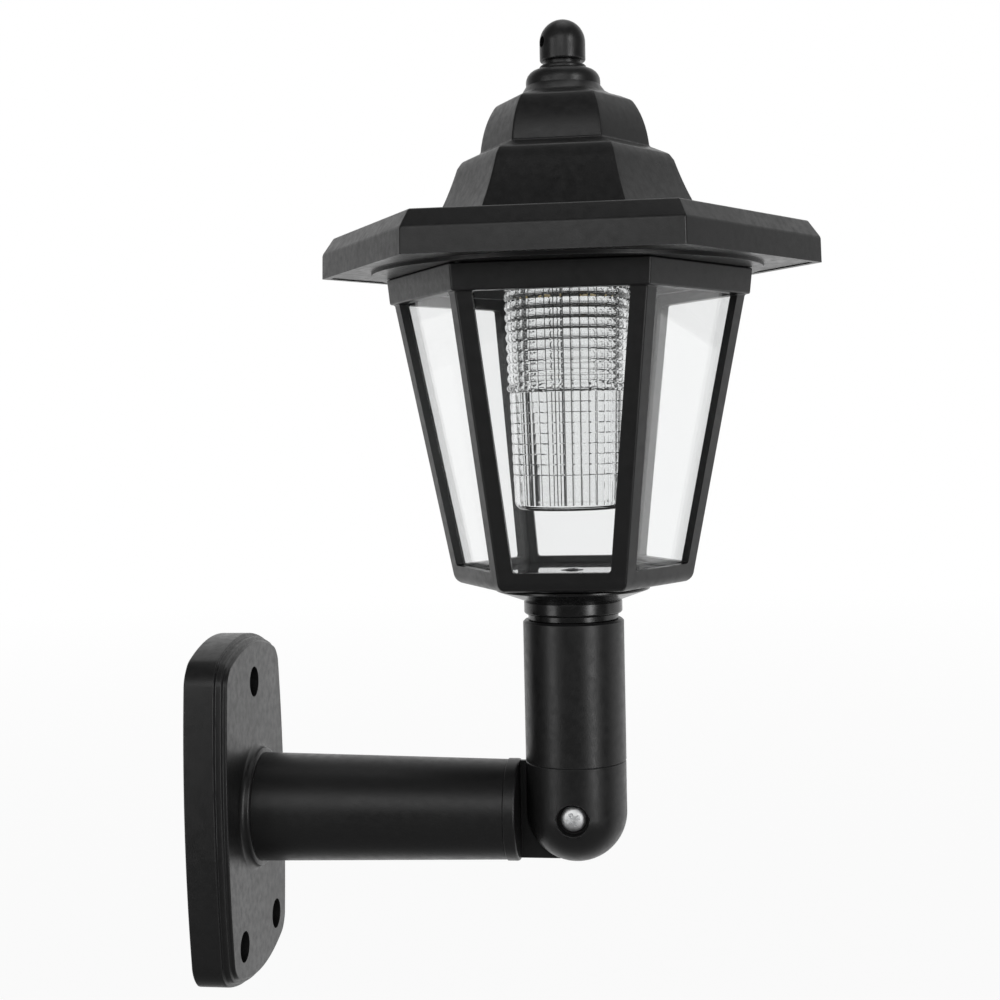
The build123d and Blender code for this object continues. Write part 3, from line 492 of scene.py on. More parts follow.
arm_ear = ear([(ear_radius, collar_end - 0.0004)] + arc(0, elbow, ear_radius, 0, 88, 20), "X", 1)
boolean(arm_knuckle, arm_ear, "UNION")
drill(arm_knuckle, (elbow, -0.001, 0), (elbow, 0.016, 0), 0.0021)
boolean(arm_knuckle, turned([(0.00416, 0.0090), (0.00416, 0.0160)], "Y", (elbow, 0, 0), sides=6))
finish(arm_knuckle, "arm_knuckle_moulding", satin_black, "bracket", "black_plastic", "arm_knuckle")

# Screws: zinc plated steel, turned and thread-rolled, with a cross recess punched in a low domed head.
# The same form in several sizes holds the whole lamp together, and the largest is the elbow's pivot.


def plated_metal(name, colour, roughness, scale):
    """Plated or blackened steel: cloudy gloss, fine brushed scratches and a faint stain."""
    metal, tree, skin, place = blank(name)
    gloss = spread(tree, noise(tree, place, scale, 4), 0.3, 0.7, roughness - 0.07, roughness + 0.12)
    streak = add(tree, "Mapping", {"Vector": place, "Scale": (1, 1, 14)})["Vector"]
    stain = spread(tree, noise(tree, place, scale * 0.6, 3), 0.45, 0.75, 0, 0.5)
    tone = blend(tree, stain, (*colour, 1), (*[part * 0.72 for part in colour], 1))
    relief = raised(tree, noise(tree, streak, scale * 6, 3), 0.12)
    take(tree, skin, {"Base Color": tone, "Roughness": gloss, "Normal": relief, "Metallic": 1.0})
    return metal


zinc = plated_metal("zinc_plate", (0.95, 0.955, 0.96), 0.5, 420)


def copied(piece):
    """A copy of a piece with its own mesh."""
    twin = piece.copy()
    twin.data = piece.data.copy()
    bpy.context.scene.collection.objects.link(twin)
    return twin


def joined(pieces):
    """Several pieces made one object, each keeping its shape."""
    hold(pieces[0])
    for piece in pieces:
        piece.select_set(True)
    bpy.ops.object.join()
    return bpy.context.object


def blade(width, length, low, high):
    """One tapered arm of a cross recess."""
    arm = block((-width / 2, -length / 2, low), (width / 2, length / 2, high))
    edit(arm)
    pick("FACE", lambda f: middle(f).z < low + 1e-6)
    bpy.ops.transform.resize(value=(0.7, 0.35, 1), center_override=(0, 0, low))
    bpy.ops.object.mode_set(mode="OBJECT")
    return arm


def screws(head_radius, head_height, shank_radius, length, places, heads, tip=0.25, sides=32):
    """Cross-head screws at their places, with the heads turned one way."""
    root = shank_radius * 0.82
    pitch = shank_radius * 0.55
    point = shank_radius * 1.6 * (1 - tip)
    rings = [(shank_radius * tip, -length), (root, -length + point)]
    for turn in range(int((length * 0.82 - point) / pitch)):
        start = -length + point + turn * pitch
        rings += [(root, start), (shank_radius, start + pitch * 0.45), (shank_radius, start + pitch * 0.55)]
    rings += [(root, rings[-1][1] + pitch * 0.45), (root, 0), (head_radius * 0.96, 0),
              (head_radius, head_height * 0.08), (head_radius, head_height * 0.4)]
    for step in range(1, 7):
        lean = math.radians(step * 13)
        rings.append((head_radius * math.cos(lean) ** 0.8, head_height * (0.4 + 0.6 * math.sin(lean))))
    rings.append((head_radius * 0.1, head_height))
    screw = turned(rings, centre=(0, 0, 0), sides=sides)
    for quarter in (0, 1):
        arm = blade(head_radius * 0.36, head_radius * 1.4, head_height * 0.3, head_height * 1.2)
        arm.rotation_euler = (0, 0, math.radians(25 + 90 * quarter))
        boolean(screw, arm)
    copies = []
    for place in places:
        twin = copied(screw)
        twin.location = place
        twin.rotation_euler = Vector(heads).to_track_quat("Z", "Y").to_euler()
        hold(twin)
        apply_place()
        copies.append(twin)
    bpy.data.objects.remove(screw)
    return joined(copies)


arm_screws = screws(
    0.0028, 0.0020, 0.00145, 0.0125, [(socket_floor, y, z) for y, z in arm_screw_places], (-1, 0, 0))
finish(arm_screws, "arm_screws_zinc", zinc, "bracket", "zinc_steel", "arm_screws")
pivot_screw = screws(0.00375, 0.0027, 0.0020, 0.02225, [(elbow, -0.01005, 0)], (0, -1, 0), tip=0.85, sides=64)
finish(pivot_screw, "pivot_screw_zinc", zinc, "bracket", "zinc_steel", "pivot_screw")

# Pivot nut: a zinc plated hexagon nut with both faces chamfered, held from turning by the elbow's pocket.
pivot_nut_low = 0.00905
pivot_nut_high = 0.0122


def nut(flats, low, high, bore, axis, centre):
    """A hexagon nut whose corners are turned off on both faces."""
    corner = flats / 2 / math.cos(math.pi / 6)
    body = turned([(corner, low), (corner, high)], axis, centre, sides=6)
    cone = turned([(flats / 2 * 0.96, low), (corner * 1.02, low + 0.0005), (corner * 1.02, high - 0.0005),
                   (flats / 2 * 0.96, high)], axis, centre, sides=64)
    boolean(body, cone, "INTERSECT")
    mouth = bore * 1.15
    boolean(body, turned([
        (mouth, low - 0.001), (mouth, low), (bore, low + 0.0003), (bore, high - 0.0003), (mouth, high),
        (mouth, high + 0.001)], axis, centre, 48))
    return body


pivot_nut = nut(0.0070, pivot_nut_low, pivot_nut_high, 0.00205, "Y", (elbow, 0, 0))
finish(pivot_nut, "pivot_nut_zinc", zinc, "bracket", "zinc_steel", "pivot_nut")

# Elbow, post side: the other half of the joint, round underneath, with a deep counterbore for the screw.
# Its spigot is glued inside the post, so only a hairline shows where the two meet.
post_radius = 0.0150
post_low = 0.0153
tube_bore_radius = 0.0126
spigot_radius = 0.01255
spigot_bore_radius = 0.01005
counterbore_radius = 0.00475
hairline = 0.0002
post_knuckle = ear(
    arc(0, 0, post_radius, -88, 0, 20)
    + [(post_radius, post_low - hairline), (post_radius - hairline, post_low)], "Z", -1)
spigot = turned([(0.0115, post_low - 0.001), (spigot_radius, post_low - 0.0005), (spigot_radius, 0.0317),
                 (spigot_radius - 0.0006, 0.0323), (spigot_bore_radius, 0.0323),
                 (spigot_bore_radius, 0.0193)])
boolean(post_knuckle, spigot, "UNION")
drill(post_knuckle, (elbow, -0.017, 0), (elbow, 0.001, 0), 0.0022, sides=48)
drill(post_knuckle, (elbow, -0.017, 0), (elbow, -0.010, 0), counterbore_radius, sides=96)
edit(post_knuckle)
pick("EDGE", lambda e: all(
    abs(math.hypot(v.co.x - elbow, v.co.z) - counterbore_radius) < 1e-5 and v.co.y < -0.013 for v in e.verts))
bpy.ops.mesh.bevel(offset=0.0003, segments=2)
finish(post_knuckle, "post_knuckle_moulding", satin_black, "post", "black_plastic", "post_knuckle")

# Post: a plain extruded tube, glued over the elbow's spigot. Its chamfered top end lets the neck turn.
post_top = 0.0575
post_tube = turned([
    (tube_bore_radius, post_low), (post_radius - hairline, post_low), (post_radius, post_low + hairline),
    (post_radius, post_top - 0.0006), (post_radius - 0.0006, post_top), (tube_bore_radius, post_top),
    (tube_bore_radius, post_low)])
finish(post_tube, "post_tube_extrusion", satin_black, "post", "black_plastic", "post_tube")

# Neck: a glossy turned-looking moulding that carries the cage. Its spigot turns in the post, a groove and
# a collar part the two, and a shallow cone spreads to the flange under the cage's floor.
neck_low = 0.0395
cage_low = 0.0683
gloss_black = moulded_plastic("gloss_black", 0.004, 0.20, 0.03, 0.5)
neck = turned([
    (0.01195, neck_low), (spigot_radius, 0.0410), (spigot_radius, 0.0576), (0.0134, 0.0576), (0.0134, 0.0593),
    (0.0141, 0.0593), (0.0146, 0.0598), (0.0146, 0.0630), (0.0143, 0.0633), (0.0229, 0.0664),
    (0.0229, 0.0672), (0.0210, 0.0672), (0.0210, cage_low)])
soften(neck, 0.0002)
drill(neck, (elbow, 0, 0.038), (elbow, 0, 0.0608), spigot_bore_radius, sides=96)
boolean(neck, rod((elbow, 0, 0.0592), (elbow, 0, 0.0620), 0.0040, sides=48), "UNION")
drill(neck, (elbow, 0, 0.058), (elbow, 0, 0.0688), 0.0015, sides=32)
finish(neck, "neck_moulding", gloss_black, "lantern", "gloss_black_plastic", "neck_adapter")

# Cage: one black moulding of six leaning corner bars between a floor and a hexagonal band. It is held to
# the neck by one dark screw through the middle of the floor.
cage_high = 0.1519
band_high = 0.1594
cage_base_corner = 0.0354
cage_top_corner = 0.0520
cage_wall = 0.0024
cage_floor = 0.0707
foot_round = 0.0034
corner_bar = 0.0045
window_low = 0.0739
window_corner = 0.0008
cage_lean = (cage_top_corner - cage_base_corner) / (cage_high - cage_low)
hexagon = math.cos(math.pi / 6)


def cage_corner(height, depth=0):
    """Distance from the axis to the cage's corner at a height, or to a corner this deep inside its wall."""
    return cage_base_corner + cage_lean * (height - cage_low) - depth / hexagon


slope = math.hypot(1, cage_lean)
cage = turned(
    arc(cage_base_corner + foot_round * (cage_lean - slope), cage_low + foot_round, foot_round, -90,
        -math.degrees(math.atan(cage_lean)))
    + [(cage_top_corner, cage_high), (cage_top_corner + 0.0014, cage_high),
       (cage_top_corner + 0.0022, band_high), (cage_corner(band_high, cage_wall), band_high),
       (cage_corner(cage_floor, cage_wall), cage_floor)], sides=6)
soften(cage, 0.0005, segments=3)
low_half = cage_corner(window_low) / 2 - corner_bar
high_half = cage_corner(cage_high) / 2 - corner_bar
begin()
bpy.ops.mesh.primitive_plane_add(
    size=1, location=(elbow + 0.024, 0, (window_low + cage_high) / 2), rotation=(0, math.pi / 2, 0))
window = bpy.context.object
window.scale = (cage_high - window_low, 2 * low_half, 1)
apply_place()
edit(window)
pick("EDGE", lambda e: middle(e).z > cage_high - 1e-5)
bpy.ops.transform.resize(value=(1, high_half / low_half, 1))
bpy.ops.mesh.select_all(action="SELECT")
bpy.ops.mesh.bevel(affect="VERTICES", offset=window_corner, segments=4)
pull(0.027, 0, 0)
tidy_mesh(window)
for side in range(6):
    opening = copied(window)
    hold(opening)
    bpy.ops.transform.rotate(
        value=math.radians(30 + 60 * side), orient_axis="Z", center_override=(elbow, 0, 0))
    apply_place()
    boolean(cage, opening)
bpy.data.objects.remove(window)
drill(cage, (elbow, 0, 0.067), (elbow, 0, 0.072), 0.00175, sides=32)
finish(cage, "cage_moulding", satin_black, "lantern", "black_plastic", "lantern_frame")
black_steel = plated_metal("black_steel", (0.05, 0.05, 0.052), 0.42, 420)
neck_screw = screws(0.0028, 0.0019, 0.00145, 0.0100, [(elbow, 0, cage_floor)], (0, 0, 1))
finish(neck_screw, "neck_screw_black", black_steel, "lantern", "black_steel", "neck_screw")

# Glazing: one clear hexagonal cup, moulded in polystyrene and dropped into the cage, so its six walls are
# the panes and its floor lies on the cage's floor round the screw. It shows a faint haze and fine scratches.
glazing_gap = 0.00015
glazing_wall = 0.0013
glazing_low = 0.0708
glazing_high = 0.1572


def clear_plastic(name, tint, roughness, haze, wave):
    """Clear moulded plastic: almost no colour, a faint haze, hairline scratches and flow waves."""
    clear, tree, skin, place = blank(name)
    cloud = spread(tree, noise(tree, place, 55, 4), 0.4, 0.75, roughness, roughness + haze)
    streak = add(tree, "Mapping", {
        "Vector": place, "Rotation": (0.2, 0.6, 0.4), "Scale": (1, 1, 9)})["Vector"]
    scratch = spread(tree, noise(tree, streak, 300, 5, 0.7), 0.70, 0.80, 0, 0.25)
    dull = reckon(tree, "MAXIMUM", cloud, scratch)
    relief = raised(tree, noise(tree, place, 60, 2), wave, 0.0003)
    take(tree, skin, {"Base Color": (*tint, 1), "Roughness": dull, "Normal": relief,
                      "Transmission Weight": 1.0, "IOR": 1.49})
    light = add(tree, "LightPath", {})["Is Shadow Ray"]
    passed = add(tree, "BsdfTransparent", {"Color": (0.92, 0.93, 0.93, 1)})[0]
    mixed = add(tree, "MixShader", {0: light, 1: skin.outputs[0], 2: passed})[0]
    tree.links.new(mixed, tree.nodes["Material Output"].inputs["Surface"])
    return clear


clear_pane = clear_plastic("clear_pane", (0.98, 0.985, 0.985), 0.01, 0.03, 0.02)
inner = glazing_gap + glazing_wall + cage_wall
glazing = turned([
    (cage_corner(glazing_low, cage_wall + glazing_gap), glazing_low),
    (cage_corner(glazing_high, cage_wall + glazing_gap), glazing_high),
    (cage_corner(glazing_high, inner), glazing_high),
    (cage_corner(glazing_low + glazing_wall, inner), glazing_low + glazing_wall)], sides=6)
soften(glazing, 0.0004, segments=3)
drill(glazing, (elbow, 0, 0.070), (elbow, 0, 0.073), 0.0034)
finish(glazing, "glazing_cup", clear_pane, "lantern", "clear_pane", "clear_liner")

# Lock ring: a black plastic ring glued in the cage's band, with three notches that let the roof's lugs in.
# A twist of the roof then holds it down.


def carried(node, name, material, body, slot, ease=0):
    """A CAD piece taken over as it is: its triangles merged, its flats rejoined and its edges eased."""
    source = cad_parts[node]
    piece = copied(source)
    piece.parent = None
    piece.matrix_world = source.matrix_world.copy()
    edit(piece)
    bpy.ops.mesh.remove_doubles(threshold=0.000002)
    bpy.ops.mesh.dissolve_limited(angle_limit=math.radians(0.5))
    bpy.ops.object.mode_set(mode="OBJECT")
    if ease:
        soften(piece, ease)
    finish(piece, name, material, body, slot, node)
    return piece


carried("lock_ring", "lock_ring_moulding", satin_black, "lantern", "black_plastic")

# Roof: one thin-walled black moulding. A broad hexagonal brim carries a concave tier and a domed tier, whose
# ridges fade out under a small round cap. It is open below, with trays for the solar panels and three bosses.
brim_low = 0.1603
brim_corner = 0.0740
brim_edge = brim_low + 0.0072
brim_top = brim_low + 0.0122
tier_corner = 0.0415
peak_height = brim_low + 0.0502
cap_radius = 0.0109
cap_low = brim_low + 0.0537
cap_high = brim_low + 0.0585
cap_round = 0.0036
cap_ring = 0.0069
cap_ring_high = brim_low + 0.0598
panel_length = 0.0420
panel_width = 0.01897
panel_reach = 0.04832
panel_gap = 0.0002
panel_depth = 0.0020
tray_wall = 0.0022
roof_boss_reach = 0.05041
side_points = 12
roof_boss_radius = 0.0034
lead_hole_radius = 0.0015


def bowed(start, through, end, steps=8):
    """Rings of a curved stretch from one ring to another, bowed through a third."""
    rings = []
    for step in range(1, steps + 1):
        t = step / steps
        rings.append(tuple(
            a * (1 - t) * (1 - 2 * t) + 4 * m * t * (1 - t) + b * t * (2 * t - 1)
            for a, m, b in zip(start, through, end)))
    return rings


def grow(rings):
    """Extrude the selected level ring upwards or downwards, ring by ring, from the first one."""
    radius, place = rings[0]
    for next_radius, height in rings[1:]:
        pull(0, 0, height - place)
        share = next_radius / radius
        bpy.ops.transform.resize(value=(share, share, 1), center_override=(elbow, 0, height))
        radius, place = next_radius, height


def over_brim(rings):
    """Rings given by their height over the brim's lower edge."""
    return [(radius, brim_low + height) for radius, height in rings]


begin()
bpy.ops.mesh.primitive_circle_add(
    vertices=6, radius=brim_corner, location=(elbow, 0, brim_low), rotation=(0, 0, math.pi / 2))
roof = bpy.context.object
apply_place()
edit(roof)
bpy.ops.mesh.subdivide(number_cuts=side_points - 1)
grow([(brim_corner, brim_low), (brim_corner - 0.0002, brim_edge), (brim_corner - 0.0039, brim_top),
      (tier_corner, brim_top)]
     + over_brim(bowed((tier_corner, 0.0122), (0.0364, 0.0210), (0.0322, 0.0310), 10))
     + over_brim([(0.0307, 0.0330), (0.0251, 0.0353)])
     + over_brim(bowed((0.0251, 0.0353), (0.0234, 0.0430), (0.0202, 0.0489), 8))
     + [(0.0170, peak_height)])
flare = [(0.0170, peak_height), (0.0150, brim_low + 0.0508), (0.0133, brim_low + 0.0518), (0.0121, cap_low)]
for (radius, place), (next_radius, height), rounding in zip(flare, flare[1:], (0.35, 0.75, 1)):
    grow([(radius, place), (next_radius, height)])
    bpy.ops.transform.tosphere(value=rounding)
ring = [v.co for v in bmesh.from_edit_mesh(roof.data).verts if v.select]
ring_radius = sum(math.hypot(co.x - elbow, co.y) for co in ring) / len(ring)
share = cap_radius / ring_radius
bpy.ops.transform.resize(value=(share, share, 1), center_override=(elbow, 0, cap_low))
grow([(cap_radius, cap_low)] + arc(cap_radius - cap_round, cap_high - cap_round, cap_round, 0, 90)
     + [(cap_ring, cap_high)] + arc(cap_ring - 0.0007, cap_ring_high - 0.0007, 0.0007, 0, 90, 3))
bpy.ops.mesh.edge_face_add()
pick("EDGE", lambda e: e.is_boundary)
bpy.ops.mesh.edge_face_add()
tidy_mesh(roof)
edit(roof)
ridge_angle = math.radians(22)
pick("EDGE", lambda e: e.calc_face_angle(0) > ridge_angle and brim_low + 0.001 < middle(e).z < peak_height)
bpy.ops.mesh.bevel(offset=0.0005, segments=3)

roof_hollow = turned([
    (0.07146, brim_low - 0.001), (0.07146, brim_low), (0.07126, brim_edge - 0.001), (0.0689, 0.1702),
    (0.03745, 0.1702), (0.03374, 0.1813), (0.02955, 0.1903), (0.02074, 0.1903), (0.02074, 0.2033),
    (0.01754, 0.2069)], sides=6)
boolean(roof, roof_hollow)


def panel_place(side, spare, top, depth):
    """The corners of a solar panel's place on one side of the brim, with room round it."""
    reach = side * panel_reach
    half_length, half_width = panel_length / 2 + spare, panel_width / 2 + spare
    return ((elbow - half_length, reach - half_width, top - depth),
            (elbow + half_length, reach + half_width, top))


for side in (-1, 1):
    tray = block(*panel_place(
        side, panel_gap + tray_wall, brim_top - 0.001, panel_depth + tray_wall - 0.0008))
    boolean(roof, tray, "UNION")
boss_places = [(elbow + roof_boss_reach * math.cos(turn), roof_boss_reach * math.sin(turn))
               for turn in (0, math.tau / 3, 2 * math.tau / 3)]
for x, y in boss_places:
    boolean(roof, rod((x, y, 0.1628), (x, y, 0.1707), roof_boss_radius, sides=48), "UNION")
for x, y in boss_places:
    drill(roof, (x, y, 0.160), (x, y, 0.1692), 0.00125, sides=24)
for side in (-1, 1):
    boolean(roof, block(*panel_place(side, panel_gap, brim_top + 0.001, panel_depth + panel_gap + 0.001)))
    reach = side * panel_reach
    drill(roof, (elbow, reach, 0.160), (elbow, reach, 0.172), lead_hole_radius, sides=32)
drill(roof, (elbow, 0, 0.200), (elbow, 0, 0.222), 0.00255, sides=48)
finish(roof, "roof_moulding", satin_black, "roof", "black_plastic", "roof_shell")

# Solar panels: two dark crystalline panels laid in the brim's trays, one on each side, sealed flush under
# clear resin. Silver fingers and two bus bars run across the cut strips of cell.


def solar_cells():
    """Dark blue-black cells with silver fingers and bus bars, parted by thin gaps, under glossy resin."""
    cells, tree, skin, place = blank("solar_cells")
    axes = add(tree, "SeparateXYZ", {"Vector": place})

    def lines(value, pitch, width, offset):
        """Lines at an even pitch across one axis."""
        count = reckon(tree, "MULTIPLY_ADD", value, 1 / pitch, offset)
        return reckon(tree, "LESS_THAN", reckon(tree, "FRACT", count), width / pitch)

    fingers = lines(axes["Y"], 0.0012, 0.00012, 0.5)
    bars = lines(axes["X"], 0.0105, 0.0005, 0.22)
    gaps = lines(axes["X"], 0.0105, 0.0004, 0.74)
    silver = reckon(tree, "MAXIMUM", fingers, bars)
    crystal = add(tree, "TexVoronoi", {"Vector": place, "Scale": 420})["Distance"]
    blue = blend(
        tree, spread(tree, crystal, 0, 0.8, 0, 1), (0.006, 0.008, 0.022, 1), (0.013, 0.018, 0.050, 1))
    printed = blend(tree, silver, blue, (0.34, 0.35, 0.37, 1))
    cut = blend(tree, gaps, printed, (0.55, 0.55, 0.53, 1))
    dust = spread(tree, noise(tree, place, 160, 5), 0.45, 0.8, 0.08, 0.22)
    take(tree, skin, {"Base Color": cut, "Roughness": dust, "Coat Weight": 0.7, "Coat Roughness": 0.08})
    return cells


solar_black = solar_cells()
panels = []
for side in (-1, 1):
    panel = block(*panel_place(side, 0, brim_top - panel_gap, panel_depth))
    edit(panel)
    pick("FACE", lambda f: middle(f).z > brim_top - panel_gap - 1e-6)
    bpy.ops.mesh.inset(thickness=0.0008, depth=-0.00015)
    bpy.ops.object.mode_set(mode="OBJECT")
    soften(panel, 0.0001)
    panels.append(panel)
finish(joined(panels), "solar_panel_pair", solar_black, "roof", "solar_cell", "solar_panels")

# Finial: a domed knob turned in the same black plastic, with a cross hole to hang the lamp by. Its stem
# passes through the cap, and a nut inside the roof clamps it.
knob_radius = 0.0067
knob_low = brim_low + 0.0609
knob_crown = brim_low + 0.0731 - knob_radius
knob_lip = 0.0006
hang_hole_radius = 0.0016
finial = turned(
    [(0.0022, 0.20185), (0.0025, 0.2022), (0.0025, 0.22015), (0.0051, 0.22015), (0.0051, knob_low)]
    + arc(knob_radius - knob_lip, knob_low + knob_lip, knob_lip, -90, 0, 4)
    + arc(0, knob_crown, knob_radius, 0, 87, 18))
hang = Vector((math.cos(math.radians(210)), math.sin(math.radians(210)), 0)) * 0.010
crown = Vector((elbow, 0, knob_crown))
drill(finial, crown - hang, crown + hang, hang_hole_radius, sides=48)
finish(finial, "finial_knob", satin_black, "roof", "black_plastic", "finial")
finial_nut = nut(0.0080, 0.20285, 0.20685, 0.00255, "Z", (elbow, 0, 0))
finish(finial_nut, "finial_nut_zinc", zinc, "roof", "zinc_steel", "finial_nut")

# Base plate: the black moulding that closes the roof from below. Its round disc bears on the cage's band,
# and the collar's three lugs turn under the lock ring. Three screws from below hold it to the roof.
carried("base_plate", "base_plate_moulding", satin_black, "roof", "black_plastic", ease=0.0002)
screw_seat = 0.1614
base_screws = screws(
    0.0025, 0.0017, 0.0012, 0.0075, [(x, y, screw_seat) for x, y in boss_places], (0, 0, -1), sides=24)
finish(base_screws, "base_screws_zinc", zinc, "roof", "zinc_steel", "base_plate_screws")

# Lamp cup: a prismatic cup moulded in clear polystyrene. Rounded ribs run round its outside above a bead,
# flat rows with fine grooves below it, and thin ridges run up its inside, so the wall is a grid of small
# windows. It hangs by its flange under the circuit board.
cup_low = brim_low - 0.070
cup_floor = cup_low + 0.0018
cup_flange_low = 0.16285
cup_high = 0.1643
cup_wall = 0.0016
cup_heel = 0.0026
cup_low_radius = 0.0165
cup_high_radius = 0.01845
flange_radius = 0.02245
lower_ribs = 9
upper_ribs = 10
rib_pitch = 0.0030
rib_groove = 0.00035
bead_low = brim_low - 0.0342 - 0.0011
bead_high = bead_low + 0.0022
ridge_count = 40
ridge_points = 6
ridge_depth = 0.0004
cup_clear = clear_plastic("cup_clear", (0.985, 0.99, 0.99), 0.01, 0.02, 0.02)


def cup_radius(height):
    """Radius of the cup's plain wall at a height."""
    return cup_low_radius + (cup_high_radius - cup_low_radius) * (height - cup_low) / (brim_low - cup_low)


def rib(low, high, bulge, steps):
    """Rings of one rounded rib of the cup's wall."""
    heights = [low + (high - low) * step / steps for step in range(steps + 1)]
    return [(cup_radius(z) + bulge * (1 - (2 * (z - low) / (high - low) - 1) ** 2), z) for z in heights]


heel_high = cup_low + cup_heel
rings = arc(cup_radius(heel_high) - cup_heel, heel_high, cup_heel, -90, 0)
for count in range(lower_ribs):
    start = bead_low - (lower_ribs - count) * rib_pitch
    rings += rib(start, start + rib_pitch - rib_groove, 0.00012, 2)
    middle_of_groove = start + rib_pitch - rib_groove / 2
    rings.append((cup_radius(middle_of_groove) - 0.0002, middle_of_groove))
rings += rib(bead_low, bead_high, 0.00085, 6)
for count in range(upper_ribs):
    start = bead_high + count * rib_pitch + rib_groove
    rings += rib(start, start + rib_pitch - rib_groove, 0.0005, 7)
rings += [(cup_radius(cup_flange_low), cup_flange_low), (flange_radius, cup_flange_low),
          (flange_radius, cup_high), (cup_radius(cup_high) - cup_wall, cup_high)]
cup_sides = ridge_count * ridge_points
cup = turned(rings, sides=cup_sides)
edit(cup)
bore = cup_radius(cup_high) - cup_wall
pick("VERT", lambda v: abs(v.co.z - cup_high) < 1e-6 and math.hypot(v.co.x - elbow, v.co.y) < bore + 1e-5
     and round(math.atan2(v.co.y, v.co.x - elbow) / math.tau * cup_sides) % ridge_points == 0)
share = 1 - ridge_depth / bore
bpy.ops.transform.resize(value=(share, share, 1), center_override=(elbow, 0, cup_high))
pick("FACE", lambda f: abs(middle(f).z - cup_high) < 1e-6 and len(f.verts) > 10)
grow([(bore, cup_high), (cup_radius(cup_floor) - cup_wall, cup_floor)])
finish(cup, "prismatic_cup", cup_clear, "roof", "clear_pane", "diffuser_cup", crease=22)

# Circuit board: a white round board over the cup, on three posts. It carries the lamps below and the driver
# chip and the coil above, and three small screws hold it.
board_low = 0.1645
board_high = 0.1661
board_radius = 0.02705
board_circle = 0.02505
lamp_offset = 0.0070
lead_offset = 0.00127


def circuit_board():
    """White solder mask over copper tracks that show as faint ridges, with a little flux stain."""
    board, tree, skin, place = blank("circuit_board")
    tracks = add(tree, "TexBrick", {
        "Vector": place, "Scale": 420, "Mortar Size": 0.06, "Brick Width": 1.7, "Row Height": 0.9})["Fac"]
    stain = spread(tree, noise(tree, place, 130, 4), 0.5, 0.8, 0, 0.35)
    mask = blend(tree, stain, (0.74, 0.75, 0.71, 1), (0.52, 0.47, 0.33, 1))
    shade = blend(tree, tracks, mask, (0.60, 0.63, 0.57, 1))
    relief = raised(tree, tracks, 0.3)
    gloss = spread(tree, noise(tree, place, 900, 2), 0.3, 0.7, 0.28, 0.42)
    take(tree, skin, {"Base Color": shade, "Roughness": gloss, "Normal": relief})
    return board


post_places = [(elbow + board_circle * math.cos(math.radians(30 + 120 * turn)),
                board_circle * math.sin(math.radians(30 + 120 * turn))) for turn in range(3)]
lead_places = [(elbow + side * lamp_offset, lead) for side in (-1, 1) for lead in (-lead_offset, lead_offset)]
board = turned([(board_radius, board_low), (board_radius, board_high)])
soften(board, 0.0001)
for x, y in post_places:
    drill(board, (x, y, 0.164), (x, y, 0.167), 0.0011, sides=32)
for x, y in lead_places:
    drill(board, (x, y, 0.164), (x, y, 0.167), 0.00045, sides=16)
finish(board, "led_circuit_board", circuit_board(), "roof", "circuit_board", "led_board")
board_screws = screws(
    0.0018, 0.0012, 0.0009, 0.0036, [(x, y, board_high) for x, y in post_places], (0, 0, 1), sides=24)
finish(board_screws, "board_screws_zinc", zinc, "roof", "zinc_steel", "board_screws")

# Lamps: two 5 mm diodes that point down into the cup. Clear epoxy over an amber phosphor, on tinned leads
# that pass through the board.


def lamp_resin():
    """Clear epoxy with an amber phosphor that is denser towards the board."""
    resin, tree, skin, place = blank("lamp_resin")
    height = add(tree, "SeparateXYZ", {"Vector": place})["Z"]
    depth = spread(tree, height, 0.1565, 0.1635, 0, 1)
    grainy = reckon(tree, "MULTIPLY", depth, noise(tree, place, 900, 3))
    amber = blend(tree, spread(tree, grainy, 0.05, 0.5, 0, 1), (0.93, 0.72, 0.34, 1), (0.86, 0.42, 0.04, 1))
    take(tree, skin, {"Base Color": amber, "Roughness": 0.06, "IOR": 1.52, "Transmission Weight": 0.35,
                      "Coat Weight": 0.6, "Coat Roughness": 0.04})
    return resin


amber_resin = lamp_resin()
diodes = []
for side in (-1, 1):
    x = elbow + side * lamp_offset
    diode = turned(
        arc(0, 0.1590, 0.0025, -86, 0, 12) + [(0.0025, 0.16345), (0.0028, 0.16345), (0.0029, 0.16355),
                                              (0.0029, 0.16440), (0.0020, 0.16445)],
        centre=(x, 0, 0), sides=48)
    for lead in (-lead_offset, lead_offset):
        leg = rod((x, lead, 0.1640), (x, lead, 0.1671), 0.00024, sides=12)
        boolean(diode, leg, "UNION")
    diodes.append(diode)
finish(joined(diodes), "amber_diodes", amber_resin, "roof", "lamp_resin", "leds")

# Driver: an eight-legged chip and a small wound coil that lift the cell's voltage for the lamps. Black
# epoxy bodies, with tinned legs bent down to the board.


def moulded_epoxy():
    """Dull dark epoxy with a fine even grain."""
    epoxy, tree, skin, place = blank("moulded_epoxy")
    tone = blend(tree, noise(tree, place, 1500, 3), (0.030, 0.030, 0.032, 1), (0.055, 0.055, 0.058, 1))
    relief = raised(tree, noise(tree, place, 4000, 2), 0.2)
    gloss = spread(tree, noise(tree, place, 300, 3), 0.3, 0.7, 0.42, 0.58)
    take(tree, skin, {"Base Color": tone, "Roughness": gloss, "Normal": relief})
    return epoxy


